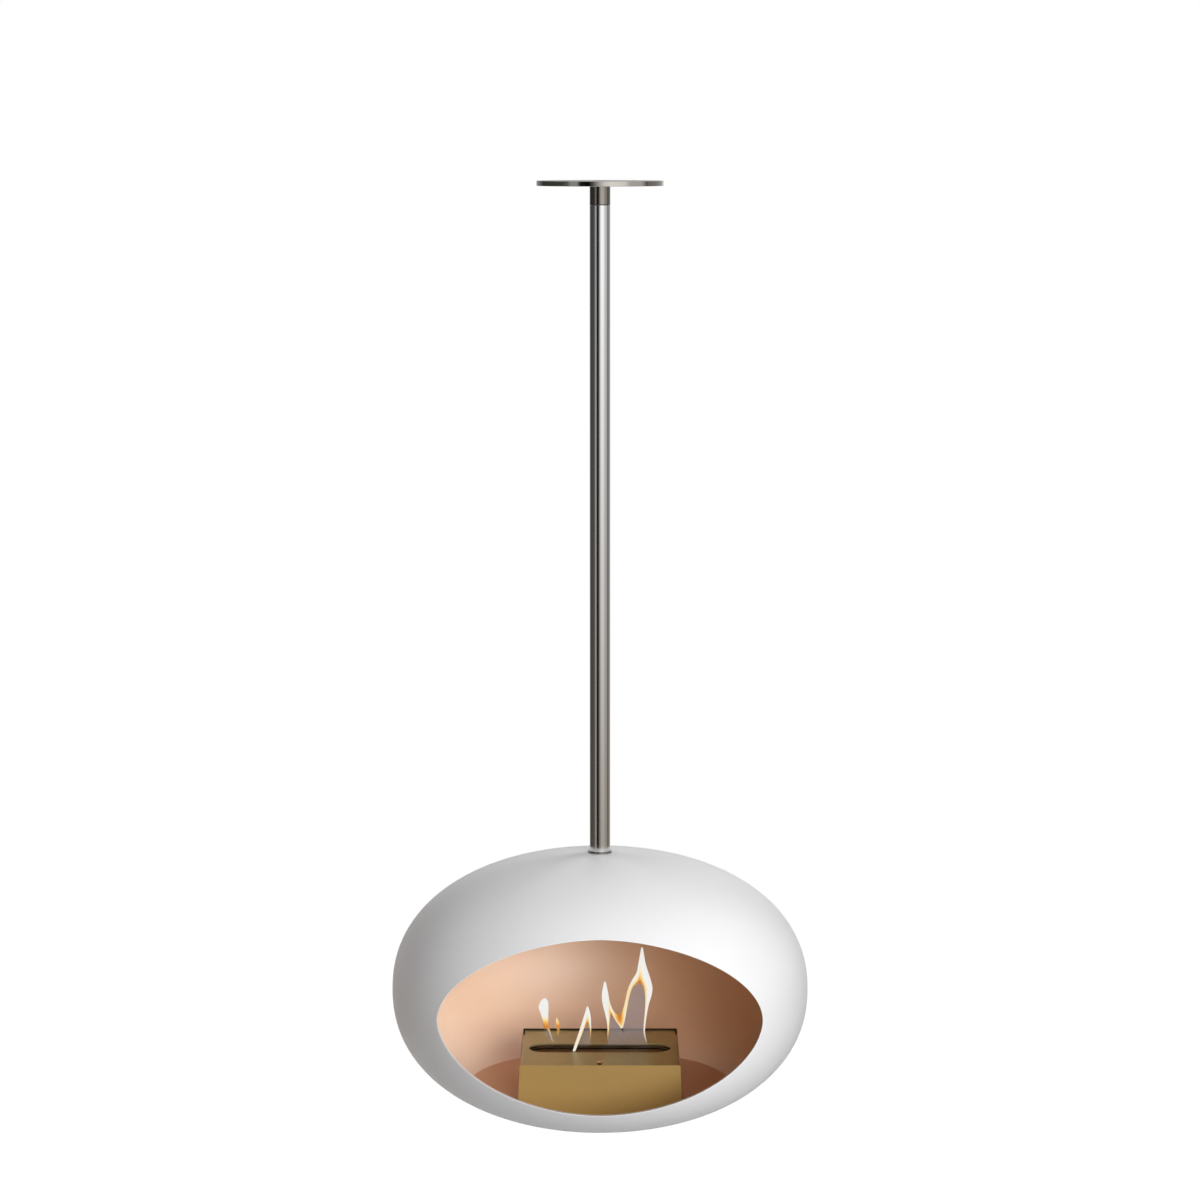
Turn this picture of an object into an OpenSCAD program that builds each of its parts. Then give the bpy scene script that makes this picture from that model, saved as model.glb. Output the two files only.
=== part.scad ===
// Hanging fireplace: a rounded steel shell on a pole that turns under a ceiling plate,
// with a liquid-fuel burner on a round hearth plate inside it.
// The origin is the centre of the ceiling plate's upper face, +Z is up and the opening faces -Y.

/* [Ceiling mount] */
// Diameter of the ceiling plate
ceiling_plate_d = 172; // [150:1:240]
// Thickness of the ceiling plate
ceiling_plate_t = 7; // [5:0.5:12]
// Diameter of the circle on which the ceiling bolts stand
bolt_circle_d = 130; // [80:1:136]
// Number of ceiling bolts
bolt_count = 4; // [3:1:8]
// Diameter of each ceiling bolt hole
bolt_hole_d = 9; // [6:0.5:12]
// Height of the fixed hub under the ceiling plate
hub_h = 25; // [20:1:60]

/* [Swivel] */
// Diameter of the spindle that carries the pole
spindle_d = 12; // [8:0.5:14]
// Diameter of the spindle's head
spindle_head_d = 20; // [18:0.5:21]
// Thickness of the spindle's head
spindle_head_h = 5; // [3:0.5:6]
// Depth of the spindle's head below the ceiling
spindle_head_drop = 4.8; // [2:0.1:6]
// Length of spindle inside the pole's upper plug
spindle_grip = 30; // [20:1:38]
// Thickness of the thrust washer under the spindle's head
thrust_washer_t = 2; // [1:0.5:4]
// Wall of the bronze bush round the spindle
bush_wall = 2; // [1:0.5:3]
// Thickness of the washer between the hub and the pole
joint_washer_t = 0.6; // [0.5:0.1:2]
// Radial running clearance of the spindle in its bush
swivel_fit = 0.05; // [0.02:0.01:0.1]
// Running gap between faces that turn on each other
face_gap = 0.3; // [0.2:0.05:0.6]

/* [Pole] */
// Outer diameter of the pole, and of the hub above it
pole_d = 28; // [26:0.5:40]
// Wall thickness of the pole
pole_wall = 2; // [1.5:0.5:3]
// Length of the pole
pole_len = 887; // [300:1:2000]
// Length of the plugs in the pole's two ends
plug_len = 40; // [40:1:80]
// Diameter of the grub screws that hold the plugs
grub_d = 5; // [3:1:6]
// Length of the grub screws
grub_len = 6; // [4:0.5:8]
// Width across the flats of the grub screws' sockets
grub_socket = 2.5; // [1.5:0.5:2.5]

/* [Shell joint] */
// How far the collar stands out past the pole
collar_overhang = 2.7; // [1:0.1:8]
// Height of the collar above the shell
collar_h = 2; // [1:0.5:6]
// Diameter of the threaded stud under the pole
stud_d = 16; // [10:1:16]
// Length of stud that shows below the nut
stud_spare = 3; // [1:1:10]
// Width of the stud nut across its flats
stud_nut_af = 24; // [22:1:30]
// Height of the stud nut
stud_nut_h = 13; // [8:1:16]
// Diameter of the washer above the stud nut
stud_washer_d = 32; // [28:1:40]
// Thickness of that washer
stud_washer_t = 2; // [1:0.5:4]
// Diameter of the plate that spreads the load under the shell
load_plate_d = 90; // [60:1:140]
// Thickness of the load plate at its middle
load_plate_t = 5; // [4:0.5:8]

/* [Shell] */
// Largest radius of the shell
shell_r = 287.5; // [260:0.5:400]
// Half of the shell's height
shell_half_h = 189.5; // [175:0.5:260]
// Power of the shell's oval outline, where 2 is an ellipse
shell_power = 2.19; // [2:0.01:2.5]
// Thickness of the outer shell
shell_wall = 2; // [1.5:0.5:4]
// Air gap between the outer shell and its lining
skin_gap = 2; // [1:0.5:8]
// Thickness of the lining
liner_wall = 1; // [0.8:0.1:3]

/* [Opening] */
// Half of the clear width of the opening
opening_half_w = 217.9; // [150:0.1:230]
// Half of the clear height of the opening
opening_half_h = 120.5; // [90:0.1:130]
// How far the opening's centre lies below the shell's centre
opening_drop = 5; // [0:0.5:10]
// Power of the opening's oval outline, where 2 is an ellipse
opening_power = 1.85; // [1.7:0.01:2.4]
// Thickness of the rim that closes the gap between the skins
rim_t = 1.5; // [1:0.1:3]

/* [Hearth] */
// Radius of the hearth plate
hearth_r = 182; // [170:1:200]
// Thickness of the hearth plate
hearth_t = 2; // [1.5:0.5:4]
// Height of the hearth plate's top above the bowl's lowest point
hearth_rise = 50.5; // [46:0.5:70]
// Outer bend radius of the hearth plate's edge
hearth_bend_r = 4; // [4:0.5:8]
// Gap between the casing's foot and the window in the hearth plate
window_gap = 0.5; // [0.3:0.1:2]
// Diameter of the post under the burner's base plate
post_d = 24; // [20:1:40]
// Gap between the base plate and the casing's walls
base_gap = 0.5; // [0.3:0.1:2]
// Diameter of the screw that holds the base plate to its post
post_screw_d = 8; // [5:1:10]
// Length of that screw below its head
post_screw_len = 20; // [12:1:30]
// Diameter of that screw's head
post_screw_head_d = 14; // [13:1:20]
// Height of that screw's head
post_screw_head_h = 4; // [3:0.5:5]

/* [Burner casing] */
// Width of the casing at its rim
casing_w = 219; // [219:1:240]
// Depth of the casing at its rim
casing_d = 221; // [200:1:240]
// Height of the casing's rim above the hearth plate
casing_h = 49.5; // [45:0.5:70]
// How far the casing's walls reach down through the hearth plate
casing_skirt_h = 22.5; // [4:0.5:24]
// Least gap between the casing's foot and the bowl
casing_foot_gap = 0.5; // [0.3:0.1:2]
// Thickness of the casing's sheet
casing_t = 1.5; // [1:0.1:2]
// Slope of each side of the casing, in degrees
casing_flare = 2.5; // [0:0.1:5]
// Width of the flange inside the casing, on which it stands
casing_flange_w = 12; // [10:1:16]
// Diameter of the casing's screws
casing_screw_d = 4; // [3:0.5:5]
// Length of those screws below their heads
casing_screw_len = 10; // [8:1:16]
// Diameter of those screws' heads
casing_screw_head_d = 7.6; // [7:0.1:9]
// Height of those screws' heads
casing_screw_head_h = 2.4; // [2:0.1:3]
// Width of the casing's nuts across their flats
casing_nut_af = 7; // [7:0.5:9]
// Height of the casing's nuts
casing_nut_h = 3.2; // [2:0.1:4]
// How far each ledge reaches under the burner's top plate
ledge_bearing = 2.2; // [1.5:0.1:2.5]
// Thickness of the ledges
ledge_t = 1.5; // [1:0.1:2]
// Height of each ledge's leg on the casing's side
ledge_leg_h = 12; // [8:1:20]
// Length of the ledges
ledge_len = 180; // [100:1:190]

/* [Burner insert] */
// Depth of the top plate below the casing's rim
plate_recess = 2.2; // [1:0.1:5]
// Gap between the top plate and the casing's walls
plate_gap = 1.75; // [1:0.05:2]
// Thickness of the top plate
top_plate_t = 2; // [1:0.1:3]
// Distance of the flame slot's ends from the top plate's sides
slot_end_gap = 7.75; // [7.75:0.05:40]
// Width of the flame slot, front to back
slot_d = 51; // [30:1:60]
// How far the mouth of the tank stands in from the slot's edge
mouth_inset = 3.4; // [2:0.1:6]
// Thickness of the tank's lid
lid_t = 1.5; // [1:0.1:3]
// How far the lid stands out past the tank
lid_overhang = 1.2; // [0.5:0.1:3]
// Gap between the lid and the ledges
lid_gap = 0.8; // [0.5:0.1:2]
// Depth of the tank, front to back
tank_d = 160; // [150:1:180]
// Thickness of the tank's sheet
tank_t = 1.2; // [0.8:0.1:2]
// Gap between the tank and the base plate
tank_foot_gap = 7.5; // [6:0.1:12]
// Depth of the flame mesh below the top plate's upper face
mesh_drop = 7.2; // [7:0.1:12]
// Thickness of the flame mesh
mesh_t = 1; // [0.6:0.1:2]
// Diameter of the lift knob
knob_d = 9; // [6:0.5:14]
// Height of the lift knob
knob_h = 4.5; // [3:0.5:10]
// Distance of the lift knob from the top plate's front edge
knob_setback = 8; // [8:0.5:14]
// Diameter of the lift knob's threaded shank
knob_shank_d = 4; // [3:0.5:5]
// Width of the knob's nut across its flats
knob_nut_af = 7; // [7:0.5:9]
// Height of the knob's nut
knob_nut_h = 3.2; // [2:0.1:4]

/* [Shutter] */
// Thickness of the shutter
shutter_t = 1.2; // [0.8:0.1:2]
// Gap above and below the shutter in its channel
shutter_gap = 0.4; // [0.3:0.05:0.8]
// How far the shutter reaches past each end of the slot
shutter_side_lap = 2.2; // [1.5:0.1:3]
// How far the closed shutter reaches past the slot's back edge
shutter_back_lap = 4.5; // [3:0.5:10]
// Gap between the shutter and each rail
rail_gap = 0.3; // [0.2:0.05:0.5]
// Width of each rail
rail_w = 2.2; // [1.5:0.1:3]
// Width of the shutter's turned-up lip
lip_w = 130; // [60:1:140]
// Thickness of the lip
lip_t = 1.2; // [0.8:0.1:2]
// Height of the lip above the shutter
lip_h = 1.6; // [1:0.1:2]

/* [Hidden] */
$fn = 64;

// Segments round the large turned forms
dome_fn = 128;
// Flats up the shell's outline, from its lowest point to its top
outline_steps = 48;
// Points round the opening's outline
opening_points = 96;
// Overshoot of a cut past the face it leaves
over = 1;
// Clearance round a screw or stud in a plain or tapped hole
screw_gap = 0.1;
// Clearance round the ceramic wool in the tank
wool_gap = 0.3;
// Clearance round the thrust washer and the spindle's head in the hub
head_gap = 0.5;

// Heights of the ceiling mount and the pole
hub_bottom_z = -ceiling_plate_t - hub_h;
head_top_z = -spindle_head_drop;
head_bottom_z = head_top_z - spindle_head_h;
seat_z = head_bottom_z - face_gap - thrust_washer_t;
pole_top_z = hub_bottom_z - joint_washer_t - face_gap;
pole_foot_z = pole_top_z - pole_len;
shell_top_z = pole_foot_z - collar_h;
shell_z = shell_top_z - shell_half_h;

pole_r = pole_d / 2;
pole_bore_r = pole_r - pole_wall;
head_bore_r = spindle_head_d / 2 + head_gap;
bush_r = spindle_d / 2 + swivel_fit + bush_wall;

liner_depth = shell_wall + skin_gap;
inner_depth = liner_depth + liner_wall;
inner_half_h = shell_half_h - inner_depth;

load_plate_z = shell_z + inner_half_h - load_plate_t;
washer_z = load_plate_z - stud_washer_t;
nut_z = washer_z - stud_nut_h;
stud_end_z = nut_z - stud_spare;

bowl_z = shell_z - inner_half_h;
hearth_top_z = bowl_z + hearth_rise;
hearth_low_z = hearth_top_z - hearth_t;

// Heights in the burner, from the casing's rim down
rim_z = hearth_top_z + casing_h;
plate_top_z = rim_z - plate_recess;
plate_low_z = plate_top_z - top_plate_t;
channel_h = shutter_t + 2 * shutter_gap;
lid_top_z = plate_low_z - channel_h;
lid_low_z = lid_top_z - lid_t;
tank_low_z = hearth_top_z + tank_foot_gap;
mesh_top_z = plate_top_z - mesh_drop;
mesh_low_z = mesh_top_z - mesh_t;
shutter_low_z = lid_top_z + shutter_gap;
ledge_top_z = plate_low_z - face_gap;

plate_half_w = casing_w / 2 - casing_t - plate_gap;
plate_half_d = casing_d / 2 - casing_t - plate_gap;
ledge_x = plate_half_w - ledge_bearing;
lid_half_w = ledge_x - lid_gap;
tank_half_w = lid_half_w - lid_overhang;
slot_w = 2 * (plate_half_w - slot_end_gap);
shutter_half_w = slot_w / 2 + shutter_side_lap;
rail_x = shutter_half_w + rail_gap;
mouth_w = slot_w - 2 * mouth_inset;
mouth_d = slot_d - 2 * mouth_inset;
knob_y = -plate_half_d + knob_setback;

// The open shutter stands behind the mouth, and its lip stops short of the slot's front edge
shutter_front_y = mouth_d / 2;
shutter_travel = shutter_front_y + slot_d / 2 - face_gap;
shutter_back_y = slot_d / 2 + shutter_back_lap + shutter_travel;
rail_front_y = -slot_d / 2 - shutter_back_lap;
rail_back_y = tank_d / 2;

casing_foot_z = hearth_top_z - casing_skirt_h;
casing_foot_grow = (rim_z - casing_foot_z) * tan(casing_flare);
flange_grow = casing_h * tan(casing_flare);
casing_screw_x = casing_w / 2 + flange_grow - casing_t - casing_flange_w / 2;
casing_screw_y = casing_d / 2 + flange_grow - casing_t - casing_flange_w / 2;

white = [0.86, 0.86, 0.87];
steel = [0.66, 0.66, 0.67];
dark_steel = [0.35, 0.35, 0.36];
copper = [0.82, 0.56, 0.44];
copper_shade = [0.52, 0.33, 0.24];
brass = [0.63, 0.51, 0.32];
bronze = [0.67, 0.48, 0.26];
wool = [0.92, 0.91, 0.88];
nylon = [0.12, 0.12, 0.12];

// ---- Shared shapes ----

module disc(r, z, h) {
    translate([0, 0, z]) cylinder(r = r, h = h);
}

module ring(r, bore_r, z, h) {
    difference() {
        disc(r, z, h);
        disc(bore_r, z - over, h + 2 * over);
    }
}

module hex_nut(af, bore_r, z, h) {
    difference() {
        translate([0, 0, z]) cylinder(r = af / sqrt(3), h = h, $fn = 6);
        disc(bore_r, z - over, h + 2 * over);
    }
}

module screw(d, len, head_d, head_h, z) {
    disc(d / 2, z - len, len);
    disc(head_d / 2, z, head_h);
}

module block(half_w, y0, y1, z0, z1) {
    translate([-half_w, y0, z0]) cube([2 * half_w, y1 - y0, z1 - z0]);
}

module stadium(w, d, z, h) {
    translate([0, 0, z]) linear_extrude(h) {
        square([w - d, d], center = true);
        for (side = [-1, 1]) translate([side * (w - d) / 2, 0]) circle(d = d);
    }
}

// A point of an oval at the angle a, drawn in by a depth square to its outline
function oval_point(a, half_w, half_h, power, depth) =
    let (
        c = cos(a),
        s = sin(a),
        bend = 2 - 2 / power,
        slope = [sign(c) * pow(abs(c), bend) / half_w, sign(s) * pow(abs(s), bend) / half_h],
        edge = [half_w * sign(c) * pow(abs(c), 2 - bend), half_h * sign(s) * pow(abs(s), 2 - bend)]
    ) edge - depth * slope / norm(slope);

// Right half of the shell's outline, drawn in by a depth all round
module shell_outline(depth) {
    polygon([for (i = [0 : outline_steps])
        oval_point(i * 180 / outline_steps - 90, shell_r, shell_half_h, shell_power, depth)]);
}

// Everything inside the shell's outline at a depth
module shell_body(depth) {
    translate([0, 0, shell_z]) rotate_extrude($fn = dome_fn) shell_outline(depth);
}

module skin(outer_depth, inner_depth) {
    translate([0, 0, shell_z]) rotate_extrude($fn = dome_fn) difference() {
        shell_outline(outer_depth);
        shell_outline(inner_depth);
    }
}

// The opening as a bar that runs out through the front of the shell, grown all round
module opening_bar(grow) {
    translate([0, 0, shell_z - opening_drop]) rotate([90, 0, 0]) linear_extrude(shell_r + over)
        polygon([for (i = [0 : opening_points - 1])
            oval_point((i + 0.5) * 360 / opening_points, opening_half_w, opening_half_h,
                opening_power, -grow)]);
}

// A box with its four sides sloping outwards below the casing's rim
module flared_box(inset, z0, z1) {
    function half_at(w, z) = w / 2 - inset + (rim_z - z) * tan(casing_flare);
    module slab(w, d) {
        rotate([90, 0, 0]) linear_extrude(2 * d, center = true) polygon([
            [-half_at(w, z0), z0], [half_at(w, z0), z0],
            [half_at(w, z1), z1], [-half_at(w, z1), z1]
        ]);
    }
    intersection() {
        slab(casing_w, casing_d);
        rotate([0, 0, 90]) slab(casing_d, casing_w);
    }
}

// ---- Ceiling mount ----

module ceiling_plate() {
    color(steel) difference() {
        disc(ceiling_plate_d / 2, -ceiling_plate_t, ceiling_plate_t);
        disc(head_bore_r, -ceiling_plate_t - over, ceiling_plate_t + 2 * over);
        for (i = [0 : bolt_count - 1]) rotate([0, 0, (i + 0.5) * 360 / bolt_count])
            translate([bolt_circle_d / 2, 0, 0])
                disc(bolt_hole_d / 2, -ceiling_plate_t - over, ceiling_plate_t + 2 * over);
    }
}

module ceiling_hub() {
    color(dark_steel) difference() {
        disc(pole_r, hub_bottom_z, hub_h);
        disc(head_bore_r, seat_z, hub_h);
        disc(bush_r, hub_bottom_z - over, hub_h);
    }
}

module thrust_washer() {
    color(bronze) ring(spindle_head_d / 2, spindle_d / 2 + face_gap, seat_z, thrust_washer_t);
}

module swivel_bush() {
    color(bronze) ring(bush_r, spindle_d / 2 + swivel_fit, hub_bottom_z, seat_z - hub_bottom_z);
}

module joint_washer() {
    color(nylon) ring(pole_r, spindle_d / 2 + face_gap, hub_bottom_z - joint_washer_t, joint_washer_t);
}

// ---- Pole ----

module grub_holes() {
    for (z = [pole_top_z - plug_len + grub_d, pole_foot_z + plug_len - grub_d])
        translate([0, pole_r + over, z]) rotate([90, 0, 0])
            cylinder(d = grub_d + 2 * screw_gap, h = grub_len + 2 * over);
}

module swivel_spindle() {
    color(steel) {
        disc(spindle_head_d / 2, head_bottom_z, spindle_head_h);
        disc(spindle_d / 2, pole_top_z - spindle_grip, head_bottom_z - pole_top_z + spindle_grip);
    }
}

module pole_top_plug() {
    color(steel) difference() {
        ring(pole_bore_r, spindle_d / 2, pole_top_z - plug_len, plug_len);
        grub_holes();
    }
}

module pole_tube() {
    color(steel) difference() {
        ring(pole_r, pole_bore_r, pole_foot_z, pole_len);
        grub_holes();
    }
}

module pole_foot_plug() {
    color(steel) difference() {
        union() {
            disc(pole_bore_r, pole_foot_z, plug_len);
            disc(stud_d / 2, stud_end_z, pole_foot_z - stud_end_z);
        }
        grub_holes();
    }
}

module grub_screws() {
    color(dark_steel)
        for (z = [pole_top_z - plug_len + grub_d, pole_foot_z + plug_len - grub_d])
            translate([0, pole_r - screw_gap, z]) rotate([90, 0, 0]) difference() {
                cylinder(d = grub_d, h = grub_len);
                translate([0, 0, -over])
                    cylinder(r = grub_socket / sqrt(3), h = grub_len / 2 + over, $fn = 6);
            }
}

// ---- Shell and its fixing ----

module stud_hole() {
    disc(stud_d / 2 + screw_gap, load_plate_z - over, shell_half_h);
}

module collar_ring() {
    color(dark_steel) difference() {
        disc(pole_r + collar_overhang, shell_top_z - collar_h, 2 * collar_h);
        shell_body(0);
        stud_hole();
    }
}

module outer_shell() {
    color(white) difference() {
        skin(0, shell_wall);
        opening_bar(rim_t);
        stud_hole();
    }
}

module inner_liner() {
    color(copper) difference() {
        skin(liner_depth, inner_depth);
        opening_bar(rim_t);
        stud_hole();
    }
}

module skin_spacer() {
    color(steel) difference() {
        intersection() {
            skin(shell_wall, liner_depth);
            disc(load_plate_d / 2, shell_z, shell_half_h);
        }
        stud_hole();
    }
}

module opening_rim() {
    color(white) difference() {
        intersection() {
            skin(0, inner_depth);
            opening_bar(rim_t);
        }
        opening_bar(0);
    }
}

module load_plate() {
    color(steel) difference() {
        intersection() {
            shell_body(inner_depth);
            disc(load_plate_d / 2, load_plate_z, shell_half_h);
        }
        stud_hole();
    }
}

module stud_washer() {
    color(steel) ring(stud_washer_d / 2, stud_d / 2 + screw_gap, washer_z, stud_washer_t);
}

module stud_nut() {
    color(steel) hex_nut(stud_nut_af, stud_d / 2 + screw_gap, nut_z, stud_nut_h);
}

// ---- Hearth plate ----

// Right half of a flat top with a rounded edge and a skirt below
module cap_outline(r, top_z, bend_r) {
    low_z = bowl_z - over;
    difference() {
        translate([0, low_z]) square([r, top_z - low_z]);
        translate([r - bend_r, top_z - bend_r]) square(2 * bend_r);
    }
    translate([r - bend_r, top_z - bend_r]) circle(bend_r);
}

module casing_screw_places() {
    for (x = [-casing_screw_x, casing_screw_x], y = [-casing_screw_y, casing_screw_y])
        translate([x, y, 0]) children();
}

// A round plate with a skirt that stands on the bowl, open at the casing and in front of it
module hearth_plate() {
    window_half_x = casing_w / 2 + casing_foot_grow + window_gap;
    window_half_y = casing_d / 2 + casing_foot_grow + window_gap;
    color(copper_shade) difference() {
        intersection() {
            shell_body(inner_depth);
            rotate_extrude($fn = dome_fn) difference() {
                cap_outline(hearth_r, hearth_top_z, hearth_bend_r);
                cap_outline(hearth_r - hearth_t, hearth_low_z, hearth_bend_r - hearth_t);
            }
        }
        block(window_half_x, -hearth_r - over, window_half_y, bowl_z, rim_z);
    }
}

// The plate inside the casing that carries it, on a post that stands in the bowl
module base_plate() {
    color(steel) difference() {
        block(casing_w / 2 - casing_t - base_gap, -casing_d / 2 + casing_t + base_gap,
            casing_d / 2 - casing_t - base_gap, hearth_low_z, hearth_top_z);
        disc(post_screw_d / 2 + screw_gap, bowl_z, 2 * hearth_rise);
        casing_screw_places() disc(casing_screw_d / 2 + screw_gap, bowl_z, 2 * hearth_rise);
    }
}

module centre_post() {
    color(steel) difference() {
        intersection() {
            shell_body(inner_depth);
            disc(post_d / 2, bowl_z - over, hearth_low_z - bowl_z + over);
        }
        disc(post_screw_d / 2 + screw_gap, hearth_top_z - post_screw_len - over, hearth_rise);
    }
}

module post_screw() {
    color(steel) screw(post_screw_d, post_screw_len, post_screw_head_d, post_screw_head_h,
        hearth_top_z);
}

// ---- Burner casing ----

// Four walls that reach down through the hearth plate's window, with a flange on the base plate
module burner_casing() {
    color(brass) difference() {
        intersection() {
            flared_box(0, casing_foot_z, rim_z);
            shell_body(inner_depth + casing_foot_gap);
        }
        flared_box(casing_t, hearth_top_z + casing_t, rim_z + over);
        flared_box(casing_t, casing_foot_z - over, hearth_top_z);
        flared_box(casing_t + casing_flange_w, casing_foot_z - over, rim_z + over);
        casing_screw_places() disc(casing_screw_d / 2 + screw_gap, hearth_top_z - over, casing_h);
    }
}

module casing_screws() {
    color(steel) casing_screw_places()
        screw(casing_screw_d, casing_screw_len, casing_screw_head_d, casing_screw_head_h,
            hearth_top_z + casing_t);
}

module casing_nuts() {
    color(steel) casing_screw_places()
        hex_nut(casing_nut_af, casing_screw_d / 2 + screw_gap, hearth_low_z - casing_nut_h,
            casing_nut_h);
}

// An angle along the casing's right side: a flange under the top plate and a leg on the wall
module ledge() {
    function wall_x(z) = casing_w / 2 - casing_t + (rim_z - z) * tan(casing_flare);
    flange_low_z = ledge_top_z - ledge_t;
    leg_low_z = ledge_top_z - ledge_leg_h;
    rotate([90, 0, 0]) linear_extrude(ledge_len, center = true) polygon([
        [ledge_x, ledge_top_z], [ledge_x, flange_low_z],
        [wall_x(flange_low_z) - ledge_t, flange_low_z], [wall_x(leg_low_z) - ledge_t, leg_low_z],
        [wall_x(leg_low_z), leg_low_z], [wall_x(ledge_top_z), ledge_top_z]
    ]);
}

module left_ledge() {
    color(steel) mirror([1, 0, 0]) ledge();
}

module right_ledge() {
    color(steel) ledge();
}

// ---- Burner insert ----

module top_plate() {
    color(brass) difference() {
        block(plate_half_w, -plate_half_d, plate_half_d, plate_low_z, plate_top_z);
        stadium(slot_w, slot_d, plate_low_z - over, top_plate_t + 2 * over);
        translate([0, knob_y, 0])
            disc(knob_shank_d / 2 + screw_gap, plate_low_z - over, top_plate_t + 2 * over);
    }
}

module lift_knob() {
    shank_len = top_plate_t + knob_nut_h + over;
    color(brass) translate([0, knob_y, 0]) {
        disc(knob_shank_d / 2, plate_top_z - shank_len, shank_len);
        disc(knob_d / 3, plate_top_z, knob_h / 2);
        disc(knob_d / 2, plate_top_z + knob_h / 2, knob_h / 2);
    }
}

module knob_nut() {
    color(steel) translate([0, knob_y, 0])
        hex_nut(knob_nut_af, knob_shank_d / 2 + screw_gap, plate_low_z - knob_nut_h, knob_nut_h);
}

module rail(side) {
    translate([side * (rail_x + rail_w / 2), 0, 0])
        block(rail_w / 2, rail_front_y, rail_back_y, lid_top_z, plate_low_z);
}

module left_rail() {
    color(steel) rail(-1);
}

module right_rail() {
    color(steel) rail(1);
}

module tank_lid() {
    color(brass) difference() {
        block(lid_half_w, -tank_d / 2 - lid_overhang, tank_d / 2 + lid_overhang, lid_low_z, lid_top_z);
        stadium(mouth_w, mouth_d, lid_low_z - over, lid_t + 2 * over);
    }
}

module fuel_tank() {
    color(steel) difference() {
        block(tank_half_w, -tank_d / 2, tank_d / 2, tank_low_z, lid_low_z);
        block(tank_half_w - tank_t, -tank_d / 2 + tank_t, tank_d / 2 - tank_t,
            tank_low_z + tank_t, lid_low_z + over);
    }
}

module tank_filling(z0, z1) {
    inset = tank_t + wool_gap;
    block(tank_half_w - inset, -tank_d / 2 + inset, tank_d / 2 - inset, z0, z1);
}

module ceramic_wool() {
    color(wool) tank_filling(tank_low_z + tank_t, mesh_low_z);
}

module flame_mesh() {
    color(brass) tank_filling(mesh_low_z, mesh_top_z);
}

// ---- Shutter ----

module shutter_plate() {
    top_z = shutter_low_z + shutter_t;
    color(dark_steel) {
        block(shutter_half_w, shutter_front_y, shutter_back_y, shutter_low_z, top_z);
        block(lip_w / 2, shutter_front_y, shutter_front_y + lip_t, shutter_low_z, top_z + lip_h);
    }
}

ceiling_plate();
ceiling_hub();
thrust_washer();
swivel_bush();
joint_washer();
swivel_spindle();
pole_top_plug();
pole_tube();
pole_foot_plug();
grub_screws();
collar_ring();
outer_shell();
inner_liner();
skin_spacer();
opening_rim();
load_plate();
stud_washer();
stud_nut();
hearth_plate();
base_plate();
centre_post();
post_screw();
burner_casing();
left_ledge();
right_ledge();
casing_screws();
casing_nuts();
top_plate();
lift_knob();
knob_nut();
left_rail();
right_rail();
tank_lid();
fuel_tank();
ceramic_wool();
flame_mesh();
shutter_plate();
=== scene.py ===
"""Hanging fireplace: finishes, detailed pieces, flames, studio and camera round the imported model.

Lengths are in metres in the model's own frame: the origin is the centre of the ceiling
plate's upper face, +Z is up and the opening faces -Y.
"""
import logging
import math
from dataclasses import dataclass
from enum import Enum
from typing import Any, Callable, ClassVar, Iterable, Sequence

import bmesh
import bpy
import numpy as np
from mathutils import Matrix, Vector


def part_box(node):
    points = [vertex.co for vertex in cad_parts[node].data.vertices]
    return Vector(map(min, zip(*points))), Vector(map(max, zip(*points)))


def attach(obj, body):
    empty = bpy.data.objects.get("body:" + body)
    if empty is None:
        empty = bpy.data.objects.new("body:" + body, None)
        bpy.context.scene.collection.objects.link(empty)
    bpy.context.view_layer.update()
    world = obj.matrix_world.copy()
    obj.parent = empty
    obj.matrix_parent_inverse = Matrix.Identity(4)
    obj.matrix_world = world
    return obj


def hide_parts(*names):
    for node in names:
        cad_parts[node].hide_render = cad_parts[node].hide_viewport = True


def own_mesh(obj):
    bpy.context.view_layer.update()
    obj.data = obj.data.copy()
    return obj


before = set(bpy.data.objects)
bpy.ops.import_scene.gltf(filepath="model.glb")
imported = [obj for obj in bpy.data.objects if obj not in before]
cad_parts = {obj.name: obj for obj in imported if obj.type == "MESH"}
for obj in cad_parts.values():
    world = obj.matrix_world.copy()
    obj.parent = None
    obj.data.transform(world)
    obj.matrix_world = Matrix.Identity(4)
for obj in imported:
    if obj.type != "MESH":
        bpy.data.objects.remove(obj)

Value = Any
Triple = tuple[float, float, float]
Colour = Triple
Stations = tuple[tuple[float, ...], ...]

LOG = logging.getLogger("fireplace")
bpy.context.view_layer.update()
MM = 0.001
MERGE = 1e-6
CREASE_DEG = 35.0
WHITE: Colour = (1.0, 1.0, 1.0)
BLACK: Colour = (0.0, 0.0, 0.0)


class Body(Enum):
    """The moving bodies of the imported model."""

    MOUNT = "ceiling_mount"
    FIREPLACE = "fireplace"
    INSERT = "burner_insert"
    SHUTTER = "shutter"


# ---- Node trees written as expressions ----


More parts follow.
